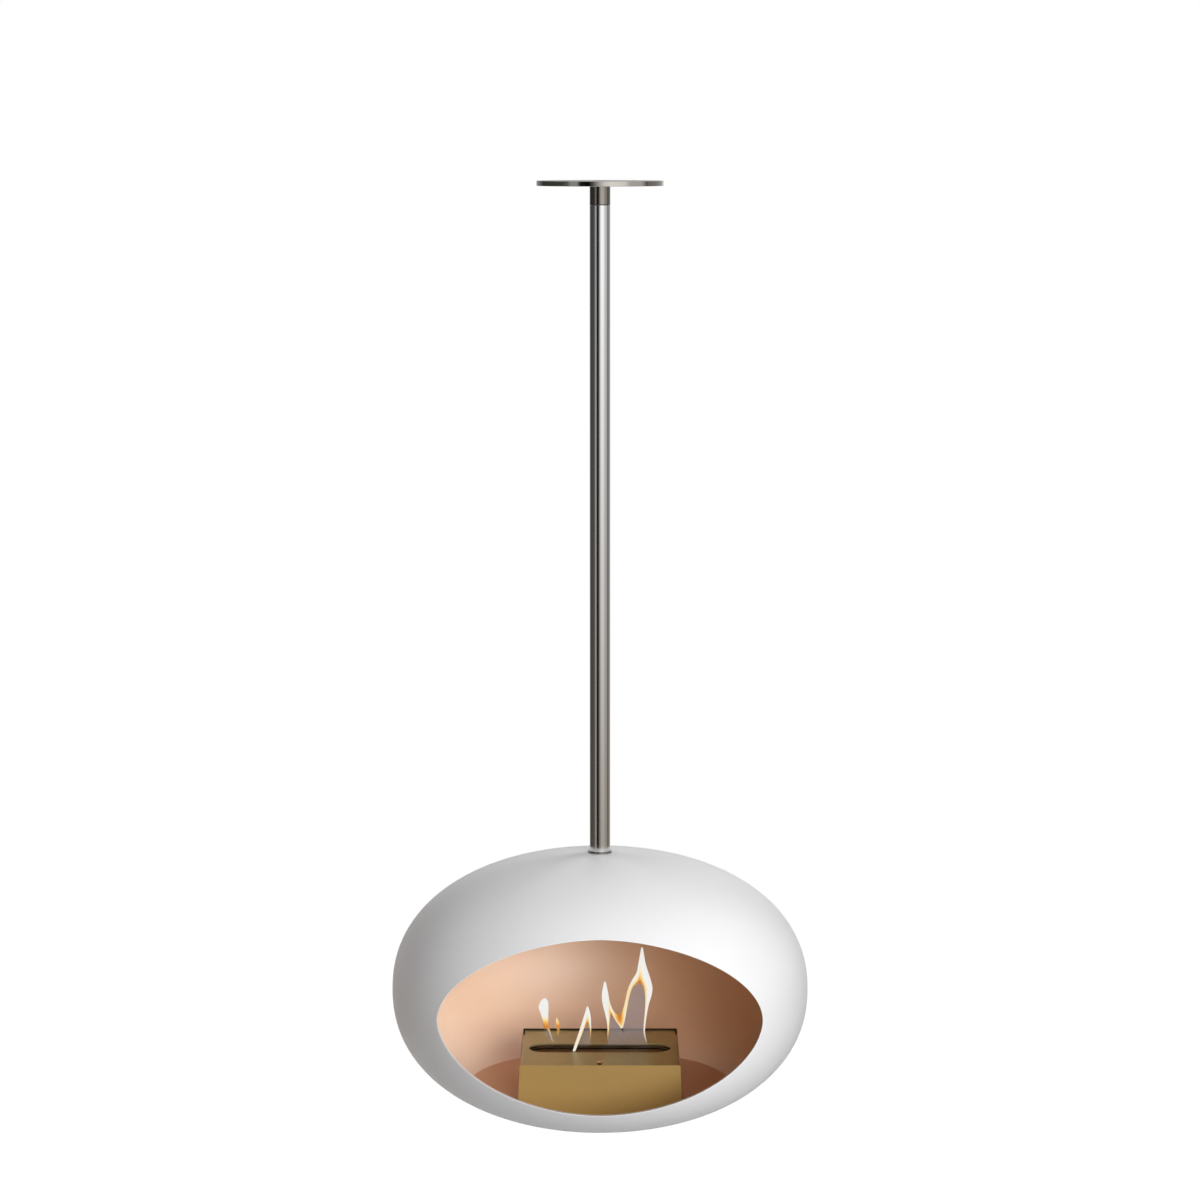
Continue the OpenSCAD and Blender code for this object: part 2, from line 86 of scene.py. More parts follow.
class Wire:
    """A number socket that takes part in Python arithmetic."""

    def __init__(self, graph: "Graph", socket: bpy.types.NodeSocket) -> None:
        """Keeps the socket and the graph that it belongs to.

        Args:
            graph: The graph that new Math nodes go into.
            socket: An output socket of one of its nodes.
        """
        self.graph = graph
        self.socket = socket

    def __add__(self, other: Value) -> "Wire":
        """Sum of two numbers."""
        return self.graph.math("ADD", self, other)

    def __radd__(self, other: Value) -> "Wire":
        """Sum of two numbers."""
        return self.graph.math("ADD", other, self)

    def __sub__(self, other: Value) -> "Wire":
        """Difference of two numbers."""
        return self.graph.math("SUBTRACT", self, other)

    def __rsub__(self, other: Value) -> "Wire":
        """Difference of two numbers."""
        return self.graph.math("SUBTRACT", other, self)

    def __mul__(self, other: Value) -> "Wire":
        """Product of two numbers."""
        return self.graph.math("MULTIPLY", self, other)

    def __rmul__(self, other: Value) -> "Wire":
        """Product of two numbers."""
        return self.graph.math("MULTIPLY", other, self)

    def __truediv__(self, other: Value) -> "Wire":
        """Quotient of two numbers."""
        return self.graph.math("DIVIDE", self, other)

    def __rtruediv__(self, other: Value) -> "Wire":
        """Quotient of two numbers."""
        return self.graph.math("DIVIDE", other, self)

    def __pow__(self, other: Value) -> "Wire":
        """Power of a number."""
        return self.graph.math("POWER", self, other)

    def __mod__(self, other: Value) -> "Wire":
        """Remainder that is never negative."""
        return self.graph.math("FLOORED_MODULO", self, other)

    def __neg__(self) -> "Wire":
        """The number with its sign changed."""
        return self.graph.math("MULTIPLY", self, -1.0)

    def __abs__(self) -> "Wire":
        """The number without its sign."""
        return self.graph.math("ABSOLUTE", self)

    def clamped(self) -> "Wire":
        """The number held between 0 and 1."""
        return self.graph.math("MINIMUM", self.graph.math("MAXIMUM", self, 0.0), 1.0)


class Graph:
    """A node tree whose nodes are added through a few short calls."""

    def __init__(self, tree: bpy.types.NodeTree) -> None:
        """Starts writing into a tree.

        Args:
            tree: The shader or geometry tree.
        """
        self.tree = tree

    @classmethod
    def emptied(cls, owner: bpy.types.Material | bpy.types.World) -> "Graph":
        """Starts writing into the emptied tree of a material or a world.

        Args:
            owner: The material or the world.

        Returns:
            The graph of its tree.
        """
        owner.use_nodes = True
        owner.node_tree.nodes.clear()
        return cls(owner.node_tree)

    def node(self, kind: str, settings: dict[str, Any] | None = None,
             inputs: dict[str | int, Value] | None = None) -> bpy.types.Node:
        """Adds one node.

        Args:
            kind: The node's type.
            settings: Properties, set before the sockets are filled. "stops" fills a ramp.
            inputs: Values or wires by socket name, identifier or index.

        Returns:
            The new node.
        """
        made = self.tree.nodes.new(kind)
        for key, value in (settings or {}).items():
            if key == "stops":
                self._fill_ramp(made.color_ramp, value)
            else:
                setattr(made, key, value)
        for key, value in (inputs or {}).items():
            self.feed(self._socket(made, key), value)
        return made

    @staticmethod
    def _fill_ramp(ramp: bpy.types.ColorRamp, stops: Sequence[tuple[float, Value]]) -> None:
        """Replaces a ramp's stops.

        Args:
            ramp: The ramp.
            stops: Pairs of a position and a colour or a grey level.
        """
        while len(ramp.elements) < len(stops):
            ramp.elements.new(1.0)
        for element, (place, shade) in zip(ramp.elements, stops):
            element.position = place
            grey = isinstance(shade, (int, float))
            element.color = (shade, shade, shade, 1.0) if grey else (*shade, 1.0)

    @staticmethod
    def _socket(node: bpy.types.Node, key: str | int) -> bpy.types.NodeSocket:
        """Finds an input socket.

        Args:
            node: The node.
            key: The socket's index, identifier or name.

        Returns:
            The socket.
        """
        found = [] if isinstance(key, int) else [i for i in node.inputs if i.identifier == key]
        return found[0] if found else node.inputs[key]

    def feed(self, socket: bpy.types.NodeSocket, value: Value) -> None:
        """Links a wire to an input socket, or sets its value.

        Args:
            socket: The input socket.
            value: A wire, an output socket, a number or a tuple.
        """
        if isinstance(value, Wire):
            self.tree.links.new(value.socket, socket)
        elif isinstance(value, bpy.types.NodeSocket):
            self.tree.links.new(value, socket)
        elif socket.type == "RGBA" and len(value) == 3:
            socket.default_value = (*value, 1.0)
        else:
            socket.default_value = value

    def wire(self, kind: str, settings: dict[str, Any] | None = None,
             inputs: dict[str | int, Value] | None = None, output: str | int = 0) -> Wire:
        """Adds one node and returns one of its outputs.

        Args:
            kind: The node's type.
            settings: Properties of the node.
            inputs: Values or wires by socket.
            output: The output's name, identifier or index.

        Returns:
            The output as a wire.
        """
        made = self.node(kind, settings, inputs)
        if isinstance(output, str):
            for socket in made.outputs:
                if socket.identifier == output:
                    return Wire(self, socket)
        return Wire(self, made.outputs[output])

    def math(self, operation: str, *terms: Value) -> Wire:
        """A Math node on one to three numbers."""
        return self.wire("ShaderNodeMath", {"operation": operation}, dict(enumerate(terms)))

    def combine(self, x: Value, y: Value, z: Value) -> Wire:
        """A vector from three numbers."""
        return self.wire("ShaderNodeCombineXYZ", None, {0: x, 1: y, 2: z})

    def parts(self, vector: Value) -> tuple[Wire, Wire, Wire]:
        """The three numbers of a vector."""
        split = self.node("ShaderNodeSeparateXYZ", None, {0: vector})
        return tuple(Wire(self, split.outputs[i]) for i in range(3))

    def scaled(self, vector: Value, by: Sequence[float]) -> Wire:
        """A vector multiplied by another, part by part."""
        return self.wire("ShaderNodeVectorMath", {"operation": "MULTIPLY"},
                         {0: vector, 1: tuple(by)})

    def here(self) -> Wire:
        """The shaded point in the object's own coordinates."""
        return self.wire("ShaderNodeTexCoord", None, None, "Object")

    def attribute(self, name: str) -> Wire:
        """A number stored on the mesh."""
        return self.wire("ShaderNodeAttribute", {"attribute_name": name}, None, "Fac")

    def noise(self, vector: Value, scale: float, detail: float = 2.0) -> Wire:
        """Smooth noise between 0 and 1."""
        return self.wire("ShaderNodeTexNoise", None,
                         {"Vector": vector, "Scale": scale, "Detail": detail})

    def mix(self, factor: Value, low: Value, high: Value) -> Wire:
        """A colour between two colours."""
        colours = {"Factor_Float": factor, "A_Color": low, "B_Color": high}
        return self.wire("ShaderNodeMix", {"data_type": "RGBA"}, colours, "Result_Color")

    def ramp(self, factor: Value, stops: Sequence[tuple[float, Value]]) -> Wire:
        """A colour read from a ramp."""
        return self.wire("ShaderNodeValToRGB", {"stops": stops}, {"Fac": factor})

    def level(self, factor: Value, low: Value, high: Value) -> Wire:
        """A number between two levels, as factor goes from 0 to 1."""
        return low + factor * (high - low)

    def around(self, factor: Value, middle: float, by: float) -> Wire:
        """A number that swings round a middle, as factor goes from 0 to 1."""
        return self.level(factor, middle - by, middle + by)

    def bump(self, height: Value, depth: float) -> Wire:
        """A normal tilted by a height.

        Args:
            height: Height between 0 and 1.
            depth: Depth of the relief in metres.

        Returns:
            The normal.
        """
        return self.wire("ShaderNodeBump", None,
                         {"Strength": 1.0, "Distance": depth, "Height": height})


# ---- Finishes ----


def tinted(colour: Colour, by: float) -> Colour:
    """A colour made lighter or darker by a factor."""
    return tuple(min(1.0, c * by) for c in colour)


def shades(colour: Colour, spread: float) -> tuple[Colour, Colour]:
    """A colour made darker and lighter by the same share."""
    return tinted(colour, 1 - spread), tinted(colour, 1 + spread)


@dataclass(frozen=True)
class Finish:
    """What every finish shares."""

    name: str
    colour: Colour
    roughness: float

    def surface(self, graph: Graph) -> dict[str, Value]:
        """The shader's sockets and what each is given.

        Args:
            graph: The graph of the material.

        Returns:
            Values or wires by the shader's socket names.
        """
        raise NotImplementedError

    def material(self) -> bpy.types.Material:
        """The finish as a material, made once.

        Returns:
            The material.
        """
        label = "finish_" + self.name
        made = bpy.data.materials.get(label)
        if made is None:
            made = bpy.data.materials.new(label)
            graph = Graph.emptied(made)
            shader = graph.node("ShaderNodeBsdfPrincipled", None, self.surface(graph))
            graph.node("ShaderNodeOutputMaterial", None, {"Surface": shader.outputs[0]})
        return made


@dataclass(frozen=True)
class PowderCoat(Finish):
    """Satin powder coat with a fine orange peel."""

    cloud: float = 0.015
    cloud_scale: float = 9.0
    gloss_swing: float = 0.05
    peel: float = 0.00003
    peel_scale: float = 700.0
    coarseness: float = 3.0
    fine_share: float = 0.6

    def surface(self, graph: Graph) -> dict[str, Value]:
        """Orange peel in the normal and slow changes in colour and gloss.

        Args:
            graph: The graph of the material.

        Returns:
            Values or wires by the shader's socket names.
        """
        point = graph.here()
        slow = graph.noise(point, self.cloud_scale)
        fine = graph.noise(point, self.peel_scale)
        coarse = graph.noise(point, self.peel_scale / self.coarseness)
        return {
            "Base Color": graph.mix(slow, *shades(self.colour, self.cloud)),
            "Roughness": graph.around(fine, self.roughness, self.gloss_swing),
            "Normal": graph.bump(graph.level(self.fine_share, coarse, fine), self.peel),
        }


@dataclass(frozen=True)
class SatinMetal(Finish):
    """Satin metal-toned sheet with a faint cloudiness and a fine tooth."""

    metallic: float = 1.0
    bloom: float = 0.0
    bloom_roughness: float = 0.8
    cloud: float = 0.03
    cloud_scale: float = 7.0
    gloss_swing: float = 0.03
    tooth: float = 0.000004
    tooth_scale: float = 900.0

    def surface(self, graph: Graph) -> dict[str, Value]:
        """Cloudy colour and gloss over a fine tooth.

        Args:
            graph: The graph of the material.

        Returns:
            Values or wires by the shader's socket names.
        """
        point = graph.here()
        slow = graph.noise(point, self.cloud_scale, detail=3.0)
        fine = graph.noise(point, self.tooth_scale)
        return {
            "Base Color": graph.mix(slow, *shades(self.colour, self.cloud)),
            "Metallic": self.metallic,
            "Roughness": graph.around(slow, self.roughness, self.gloss_swing),
            "Sheen Weight": self.bloom,
            "Sheen Roughness": self.bloom_roughness,
            "Normal": graph.bump(fine, self.tooth),
        }


@dataclass(frozen=True)
class BrushedMetal(Finish):
    """Metal brushed along one axis, with hairline streaks."""

    streaks: Triple = (1500.0, 1500.0, 12.0)
    groove: float = 0.000003
    contrast: float = 0.06
    gloss_share: float = 0.3

    def surface(self, graph: Graph) -> dict[str, Value]:
        """Hairlines in colour, gloss and normal.

        Args:
            graph: The graph of the material.

        Returns:
            Values or wires by the shader's socket names.
        """
        lines = graph.noise(graph.scaled(graph.here(), self.streaks), 1.0, detail=3.0)
        swing = self.roughness * self.gloss_share
        return {
            "Base Color": graph.mix(lines, *shades(self.colour, self.contrast)),
            "Metallic": 1.0,
            "Roughness": graph.around(lines, self.roughness, swing),
            "Normal": graph.bump(lines, self.groove),
        }


@dataclass(frozen=True)
class TurnedMetal(Finish):
    """Metal turned on a lathe about Z, with fine rings."""

    ring_scale: float = 3000.0
    ring_share: float = 0.5
    cloud_scale: float = 40.0
    groove: float = 0.000003
    contrast: float = 0.06
    gloss_share: float = 0.25

    def surface(self, graph: Graph) -> dict[str, Value]:
        """Rings about the axis in colour, gloss and normal.

        Args:
            graph: The graph of the material.

        Returns:
            Values or wires by the shader's socket names.
        """
        x, y, z = graph.parts(graph.here())
        radius = (x * x + y * y) ** 0.5
        rings = graph.noise(graph.combine(radius, z, 0.0), self.ring_scale)
        slow = graph.noise(graph.here(), self.cloud_scale)
        swing = self.roughness * self.gloss_share
        blend = rings * self.ring_share + slow * (1 - self.ring_share)
        return {
            "Base Color": graph.mix(blend, *shades(self.colour, self.contrast)),
            "Metallic": 1.0,
            "Roughness": graph.around(rings, self.roughness, swing),
            "Normal": graph.bump(rings, self.groove),
        }


@dataclass(frozen=True)
class TintedSteel(Finish):
    """Steel coloured by heat in soft straw and blue-grey clouds."""

    hot: Colour = (0.34, 0.24, 0.15)
    cool: Colour = (0.30, 0.30, 0.33)
    hot_below: float = 0.32
    plain_at: float = 0.52
    cool_above: float = 0.72
    cloud_scale: float = 22.0
    grain_scale: Triple = (40.0, 1200.0, 1200.0)
    grain_depth: float = 0.000004
    gloss_swing: float = 0.06

    def surface(self, graph: Graph) -> dict[str, Value]:
        """Clouds of heat colour over a fine grain.

        Args:
            graph: The graph of the material.

        Returns:
            Values or wires by the shader's socket names.
        """
        point = graph.here()
        clouds = graph.noise(point, self.cloud_scale, detail=3.0)
        grain = graph.noise(graph.scaled(point, self.grain_scale), 1.0)
        tints = ((self.hot_below, self.hot), (self.plain_at, self.colour),
                 (self.cool_above, self.cool))
        return {
            "Base Color": graph.ramp(clouds, tints),
            "Metallic": 1.0,
            "Roughness": graph.around(grain, self.roughness, self.gloss_swing),
            "Normal": graph.bump(grain, self.grain_depth),
        }


@dataclass(frozen=True)
class Plastic(Finish):
    """Moulded plastic or blackened steel with a fine matt grain."""

    metallic: float = 0.0
    grain_scale: float = 1400.0
    grain_depth: float = 0.00001
    contrast: float = 0.15
    gloss_swing: float = 0.08

    def surface(self, graph: Graph) -> dict[str, Value]:
        """A fine grain in the normal and the gloss.

        Args:
            graph: The graph of the material.

        Returns:
            Values or wires by the shader's socket names.
        """
        grain = graph.noise(graph.here(), self.grain_scale)
        return {
            "Base Color": graph.mix(grain, *shades(self.colour, self.contrast)),
            "Metallic": self.metallic,
            "Roughness": graph.around(grain, self.roughness, self.gloss_swing),
            "Normal": graph.bump(grain, self.grain_depth),
        }


@dataclass(frozen=True)
class Fibre(Finish):
    """Ceramic fibre, singed brown in soft patches."""

    singed: Colour = (0.20, 0.15, 0.10)
    singed_below: float = 0.35
    clean_above: float = 0.65
    patch_share: float = 0.7
    patch_scale: float = 18.0
    strand_scale: Triple = (300.0, 900.0, 900.0)
    strand_depth: float = 0.0004

    def surface(self, graph: Graph) -> dict[str, Value]:
        """Tangled strands under singed patches.

        Args:
            graph: The graph of the material.

        Returns:
            Values or wires by the shader's socket names.
        """
        point = graph.here()
        patch = graph.noise(point, self.patch_scale, detail=3.0)
        strands = graph.noise(graph.scaled(point, self.strand_scale), 1.0, detail=4.0)
        blend = patch * self.patch_share + strands * (1 - self.patch_share)
        tints = ((self.singed_below, self.singed), (self.clean_above, self.colour))
        return {
            "Base Color": graph.ramp(blend, tints),
            "Roughness": self.roughness,
            "Normal": graph.bump(strands, self.strand_depth),
        }


@dataclass(frozen=True)
class Veil(Finish):
    """The faint grey gas under a flame, as clear as the mesh says."""

    clear_name: str = "flame_clear"

    def surface(self, graph: Graph) -> dict[str, Value]:
        """A dim even glow.

        Args:
            graph: The graph of the material.

        Returns:
            Values or wires by the shader's socket names.
        """
        return {
            "Base Color": BLACK,
            "Roughness": self.roughness,
            "Specular IOR Level": 0.0,
            "Emission Color": self.colour,
            "Emission Strength": 1.0,
            "Alpha": graph.attribute(self.clear_name),
        }


@dataclass(frozen=True)
class Flame(Veil):
    """Burning gas: a white body with orange inner edges, clear at its foot."""

    heat_name: str = "flame_heat"
    edge_glow: tuple[tuple[float, Colour], ...] = (
        (0.0, (0.42, 0.13, 0.045)), (0.16, (0.72, 0.27, 0.05)), (0.36, (0.90, 0.52, 0.13)),
        (0.58, (0.92, 0.74, 0.42)), (0.8, (0.90, 0.86, 0.76)))

    def surface(self, graph: Graph) -> dict[str, Value]:
        """Light read from the mesh, from the inner edge's orange to the body's white.

        Args:
            graph: The graph of the material.

        Returns:
            Values or wires by the shader's socket names.
        """
        stops = (*self.edge_glow, (1.0, self.colour))
        glow = graph.ramp(graph.attribute(self.heat_name), stops)
        return {**super().surface(graph), "Emission Color": glow}


WHITE_COAT = PowderCoat("white_coat", (0.80, 0.80, 0.81), 0.42)
COPPER_LINING = SatinMetal("copper_lining", (0.70, 0.385, 0.155), 0.65, 0.0, 0.8)
COPPER_HEARTH = SatinMetal("copper_hearth", (0.58, 0.32, 0.19), 0.42, 0.3)
BRASS_CASING = SatinMetal("brass_casing", (0.55, 0.37, 0.13), 0.38, 0.5)
# Near-black sheet for the casing's inner faces: painted shade for the dark gap round the top plate,
# not the brass's own colour.
CASING_PAINTED_SHADE = SatinMetal("casing_inside", (0.035, 0.028, 0.02), 0.6, 0.3)
BRASS_PLATE = SatinMetal("brass_plate", (0.43, 0.40, 0.18), 0.36, 0.75)
BRASS_KNOB = TurnedMetal("brass_knob", (0.74, 0.56, 0.30), 0.24)
BRUSHED_POLE = BrushedMetal("brushed_pole", (0.84, 0.84, 0.84), 0.11)
DARK_STEEL = BrushedMetal("dark_satin_steel", (0.35, 0.32, 0.28), 0.14)
POLISHED_STEEL = TurnedMetal("polished_steel", (0.58, 0.55, 0.50), 0.07)
MACHINED_STEEL = TurnedMetal("machined_steel", (0.62, 0.62, 0.63), 0.28)
BRONZE = TurnedMetal("bronze", (0.62, 0.44, 0.24), 0.30)
BLACK_STEEL = Plastic("black_steel", (0.06, 0.06, 0.06), 0.45, 0.6)
BLACK_NYLON = Plastic("black_nylon", (0.03, 0.03, 0.03), 0.5)
BURNER_STEEL = TintedSteel("burner_steel", (0.40, 0.35, 0.28), 0.34)
SHUTTER_STEEL = TintedSteel("shutter_steel", (0.34, 0.31, 0.27), 0.36)
MESH_WIRE = TintedSteel("flame_mesh", (0.40, 0.32, 0.23), 0.40)
WOOL = Fibre("ceramic_wool", (0.55, 0.50, 0.42), 0.95)
FLAME = Flame("flame_glow", (0.87, 0.87, 0.84), 1.0)
VEIL = Veil("flame_veil", (0.30, 0.25, 0.25), 1.0)

FINISHED_NODES: dict[Finish, tuple[str, ...]] = {
    POLISHED_STEEL: ("ceiling_plate",),
    DARK_STEEL: ("ceiling_hub", "collar_ring"),
    BRONZE: ("thrust_washer", "swivel_bush"),
    BLACK_NYLON: ("joint_washer",),
    BLACK_STEEL: ("grub_screws",),
    BRUSHED_POLE: ("pole_tube",),
    WHITE_COAT: ("outer_shell", "opening_rim"),
    COPPER_LINING: ("inner_liner",),
    COPPER_HEARTH: ("hearth_plate",),
    BRASS_CASING: ("burner_casing",),
    BRASS_PLATE: ("top_plate",),
    BRASS_KNOB: ("lift_knob",),
    BURNER_STEEL: ("tank_lid", "fuel_tank"),
    SHUTTER_STEEL: ("shutter_plate",),
    MESH_WIRE: ("flame_mesh",),
    WOOL: ("ceramic_wool",),
    MACHINED_STEEL: (
        "swivel_spindle", "pole_top_plug", "pole_foot_plug", "skin_spacer", "load_plate",
        "stud_washer", "stud_nut", "base_plate", "centre_post", "post_screw", "left_ledge",
        "right_ledge", "casing_screws", "casing_nuts", "knob_nut", "left_rail", "right_rail"),
}


# ---- Meshes ----


def new_object(name: str, mesh: bpy.types.Mesh) -> bpy.types.Object:
    """Links a mesh into the scene as an object at the origin.

    Args:
        name: The piece's name.
        mesh: Its mesh, in place.

    Returns:
        The object.
    """
    made = bpy.data.objects.new(name, mesh)
    bpy.context.scene.collection.objects.link(made)
    return made


def mesh_of(name: str, points: Iterable[Sequence[float]],
            faces: Iterable[Sequence[int]] = (),
            edges: Iterable[Sequence[int]] = ()) -> bpy.types.Mesh:
    """Makes a mesh from its points, faces and edges.

    Args:
        name: The mesh's name.
        points: Its points.
        faces: The indices of each face's points.
        edges: The indices of each loose edge's points.

    Returns:
        The mesh.
    """
    made = bpy.data.meshes.new(name)
    made.from_pydata([tuple(p) for p in points], [tuple(e) for e in edges],
                     [tuple(f) for f in faces])
    made.update()
    return made


def smooth_outside(mesh: bpy.types.Mesh, crease_deg: float = CREASE_DEG) -> None:
    """Turns a closed mesh's faces outwards and shades it smooth between creases.

    Args:
        mesh: A closed mesh.
        crease_deg: The angle from which an edge stays sharp.
    """
    work = bmesh.new()
    work.from_mesh(mesh)
    bmesh.ops.recalc_face_normals(work, faces=work.faces)
    for face in work.faces:
        face.smooth = True
    work.to_mesh(mesh)
    work.free()
    mesh.set_sharp_from_angle(angle=math.radians(crease_deg))


def baked(piece: bpy.types.Object) -> bpy.types.Mesh:
    """Makes what an object's modifiers show its plain mesh and removes them.

    Args:
        piece: The object.

    Returns:
        Its new mesh.
    """
    depsgraph = bpy.context.evaluated_depsgraph_get()
    mesh = bpy.data.meshes.new_from_object(piece.evaluated_get(depsgraph))
    mesh.name = piece.name
    piece.modifiers.clear()
    piece.data = mesh
    return mesh


def carve(piece: bpy.types.Object, tool: bpy.types.Object) -> None:
    """Cuts one piece out of another and removes it.

    Args:
        piece: The piece that is cut.
        tool: The closed piece that cuts it.
    """
    cut = piece.modifiers.new("cut", "BOOLEAN")
    cut.operation = "DIFFERENCE"
    cut.solver = "EXACT"
    cut.object = tool
    mesh = baked(piece)
    bpy.data.objects.remove(tool)
    mesh.set_sharp_from_angle(angle=math.radians(CREASE_DEG))


def dress(piece: bpy.types.Object, finish: Finish, body: Body, *nodes: str,
          slot: str | None = None) -> bpy.types.Object:
    """Gives a piece its finish, its body and the CAD nodes that it stands for.

    Args:
        piece: The piece, in place.
        finish: Its finish.
        body: The body that it rides on.
        nodes: The CAD nodes that it replaces.
        slot: Not used.

    Returns:
        The piece.
    """
    piece.data.materials.clear()
    piece.data.materials.append(finish.material())
    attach(piece, body.value)
    if nodes:
        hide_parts(*nodes)
    LOG.info("made %s on %s", piece.name, body.value)
    return piece


def rounded(points: Sequence[tuple[float, float]], radii: Sequence[float],
            steps: int = 5, hold: float = 0.0003) -> list[tuple[float, float]]:
    """A closed outline with its corners rounded.

    Args:
        points: The corners in order.
        radii: The radius of each corner, 0 for a sharp one.
        steps: Steps round each corner.
        hold: Distance from a rounded corner to the points that keep its walls flat.

    Returns:
        The points of the rounded outline.
    """
    made: list[tuple[float, float]] = []
    count = len(points)
    for i, radius in enumerate(radii):
        here = Vector(points[i])
        if radius <= 0:
            made.append(tuple(here))
            continue
        back = (Vector(points[i - 1]) - here).normalized()
        ahead = (Vector(points[(i + 1) % count]) - here).normalized()
        half = back.angle(ahead) / 2
        reach = radius / math.tan(half)
        centre = here + (back + ahead).normalized() * (radius / math.sin(half))
        start, end = here + back * reach - centre, here + ahead * reach - centre
        turn = start.angle_signed(end)
        made.append(tuple(here + back * (reach + hold)))
        for k in range(steps + 1):
            angle = -turn * k / steps
            c, s = math.cos(angle), math.sin(angle)
            made.append((centre.x + start.x * c - start.y * s,
                         centre.y + start.x * s + start.y * c))
        made.append(tuple(here + ahead * (reach + hold)))
    return made


# ---- Geometry Nodes trees ----


class NodeShape:
    """A Geometry Nodes tree with named inputs, run on a base mesh and baked."""

    SOCKETS: ClassVar[dict[type, str]] = {float: "NodeSocketFloat", int: "NodeSocketInt"}

    def __init__(self, name: str, sizes: dict[str, float | int]) -> None:
        """Starts the tree.

        Args:
            name: The tree's name.
            sizes: Its named inputs with their values.
        """
        self.tree = bpy.data.node_groups.new(name, "GeometryNodeTree")
        self.sizes = sizes
        self.items: dict[str, str] = {}
        face = self.tree.interface
        face.new_socket("Geometry", in_out="INPUT", socket_type="NodeSocketGeometry")
        for label, value in sizes.items():
            socket = face.new_socket(label, in_out="INPUT", socket_type=self.SOCKETS[type(value)])
            self.items[label] = socket.identifier
        socket = face.new_socket("Material", in_out="INPUT", socket_type="NodeSocketMaterial")
        self.items["Material"] = socket.identifier
        face.new_socket("Geometry", in_out="OUTPUT", socket_type="NodeSocketGeometry")
        self.graph = Graph(self.tree)
        self.start = self.graph.node("NodeGroupInput")

    def given(self, label: str) -> Wire:
        """A named input."""
        return Wire(self.graph, self.start.outputs[label])

    def close(self, shape: Value) -> None:
        """Ends the tree with real instances and the material.

        Args:
            shape: The geometry's wire.
        """
        graph = self.graph
        real = graph.wire("GeometryNodeRealizeInstances", None, {"Geometry": shape})
        coated = graph.wire("GeometryNodeSetMaterial", None,
                            {"Geometry": real, "Material": self.given("Material")})
        graph.node("NodeGroupOutput", None, {0: coated})

    def build(self, name: str, base: bpy.types.Mesh, finish: Finish,
              sizes: dict[str, float | int] | None = None) -> bpy.types.Object:
        """Runs the tree on a base mesh.

        Args:
            name: The piece's name.
            base: The mesh that the tree starts from.
            finish: The finish given to it.
            sizes: Inputs that differ from the tree's own.

        Returns:
            The piece with its plain mesh.
        """
        piece = new_object(name, base)
        modifier = piece.modifiers.new(self.tree.name, "NODES")
        modifier.node_group = self.tree
        for label, value in {**self.sizes, **(sizes or {})}.items():
            modifier[self.items[label]] = value
        modifier[self.items["Material"]] = finish.material()
        smooth_outside(baked(piece))
        return piece

    def profile_grid(self) -> tuple[Wire, Wire, Wire, Wire, Wire]:
        """A grid with one row for each point of the base mesh.

        Returns:
            The grid, the angle of each column, and the base point's three parts.
        """
        graph = self.graph
        rows = graph.wire("GeometryNodeAttributeDomainSize", {"component": "MESH"},
                          {"Geometry": self.given("Geometry")}, "Point Count")
        columns = self.given("Columns")
        grid = graph.wire("GeometryNodeMeshGrid", None,
                          {"Vertices X": columns + 1, "Vertices Y": rows})
        index = graph.wire("GeometryNodeInputIndex")
        row = index % rows
        column = graph.math("FLOOR", (index + 0.5) / rows)
        spot = graph.wire("GeometryNodeInputPosition")
        point = graph.wire("GeometryNodeSampleIndex",
                           {"data_type": "FLOAT_VECTOR", "domain": "POINT"},
                           {"Geometry": self.given("Geometry"), "Value": spot, "Index": row})
        angle = column * (2 * math.pi) / columns
        return (grid, angle, *graph.parts(point))

    def placed(self, grid: Value, position: Value, merge: float = MERGE) -> Wire:
        """Moves a grid's points and closes its seams.

        Args:
            grid: The grid.
            position: Where its points go.
            merge: Distance within which points become one.

        Returns:
            The closed surface.
        """
        graph = self.graph
        moved = graph.wire("GeometryNodeSetPosition", None,
                           {"Geometry": grid, "Position": position})
        return graph.wire("GeometryNodeMergeByDistance", None,
                          {"Geometry": moved, "Distance": merge})


class Lathe(NodeShape):
    """Turns an outline about Z: the base mesh's X is the radius and its Y the height."""

    COLUMNS: ClassVar[int] = 160

    def __init__(self) -> None:
        """Writes the tree."""
        super().__init__("lathe", {"Columns": self.COLUMNS})
        graph = self.graph
        grid, angle, radius, height, _ = self.profile_grid()
        spot = graph.combine(radius * graph.math("COSINE", angle),
                             radius * graph.math("SINE", angle), height)
        self.close(self.placed(grid, spot))

    def turn(self, name: str, outline: Sequence[tuple[float, float]], finish: Finish,
             columns: int = COLUMNS) -> bpy.types.Object:
        """Turns a closed outline.

        Args:
            name: The piece's name.
            outline: Points as radius and height.
            finish: Its finish.
            columns: Columns round the axis.

        Returns:
            The piece.
        """
        loop = [(max(r, 0.0), z, 0.0) for r, z in (*outline, outline[0])]
        edges = [(i, i + 1) for i in range(len(loop) - 1)]
        return self.build(name, mesh_of(name, loop, edges=edges), finish, {"Columns": columns})


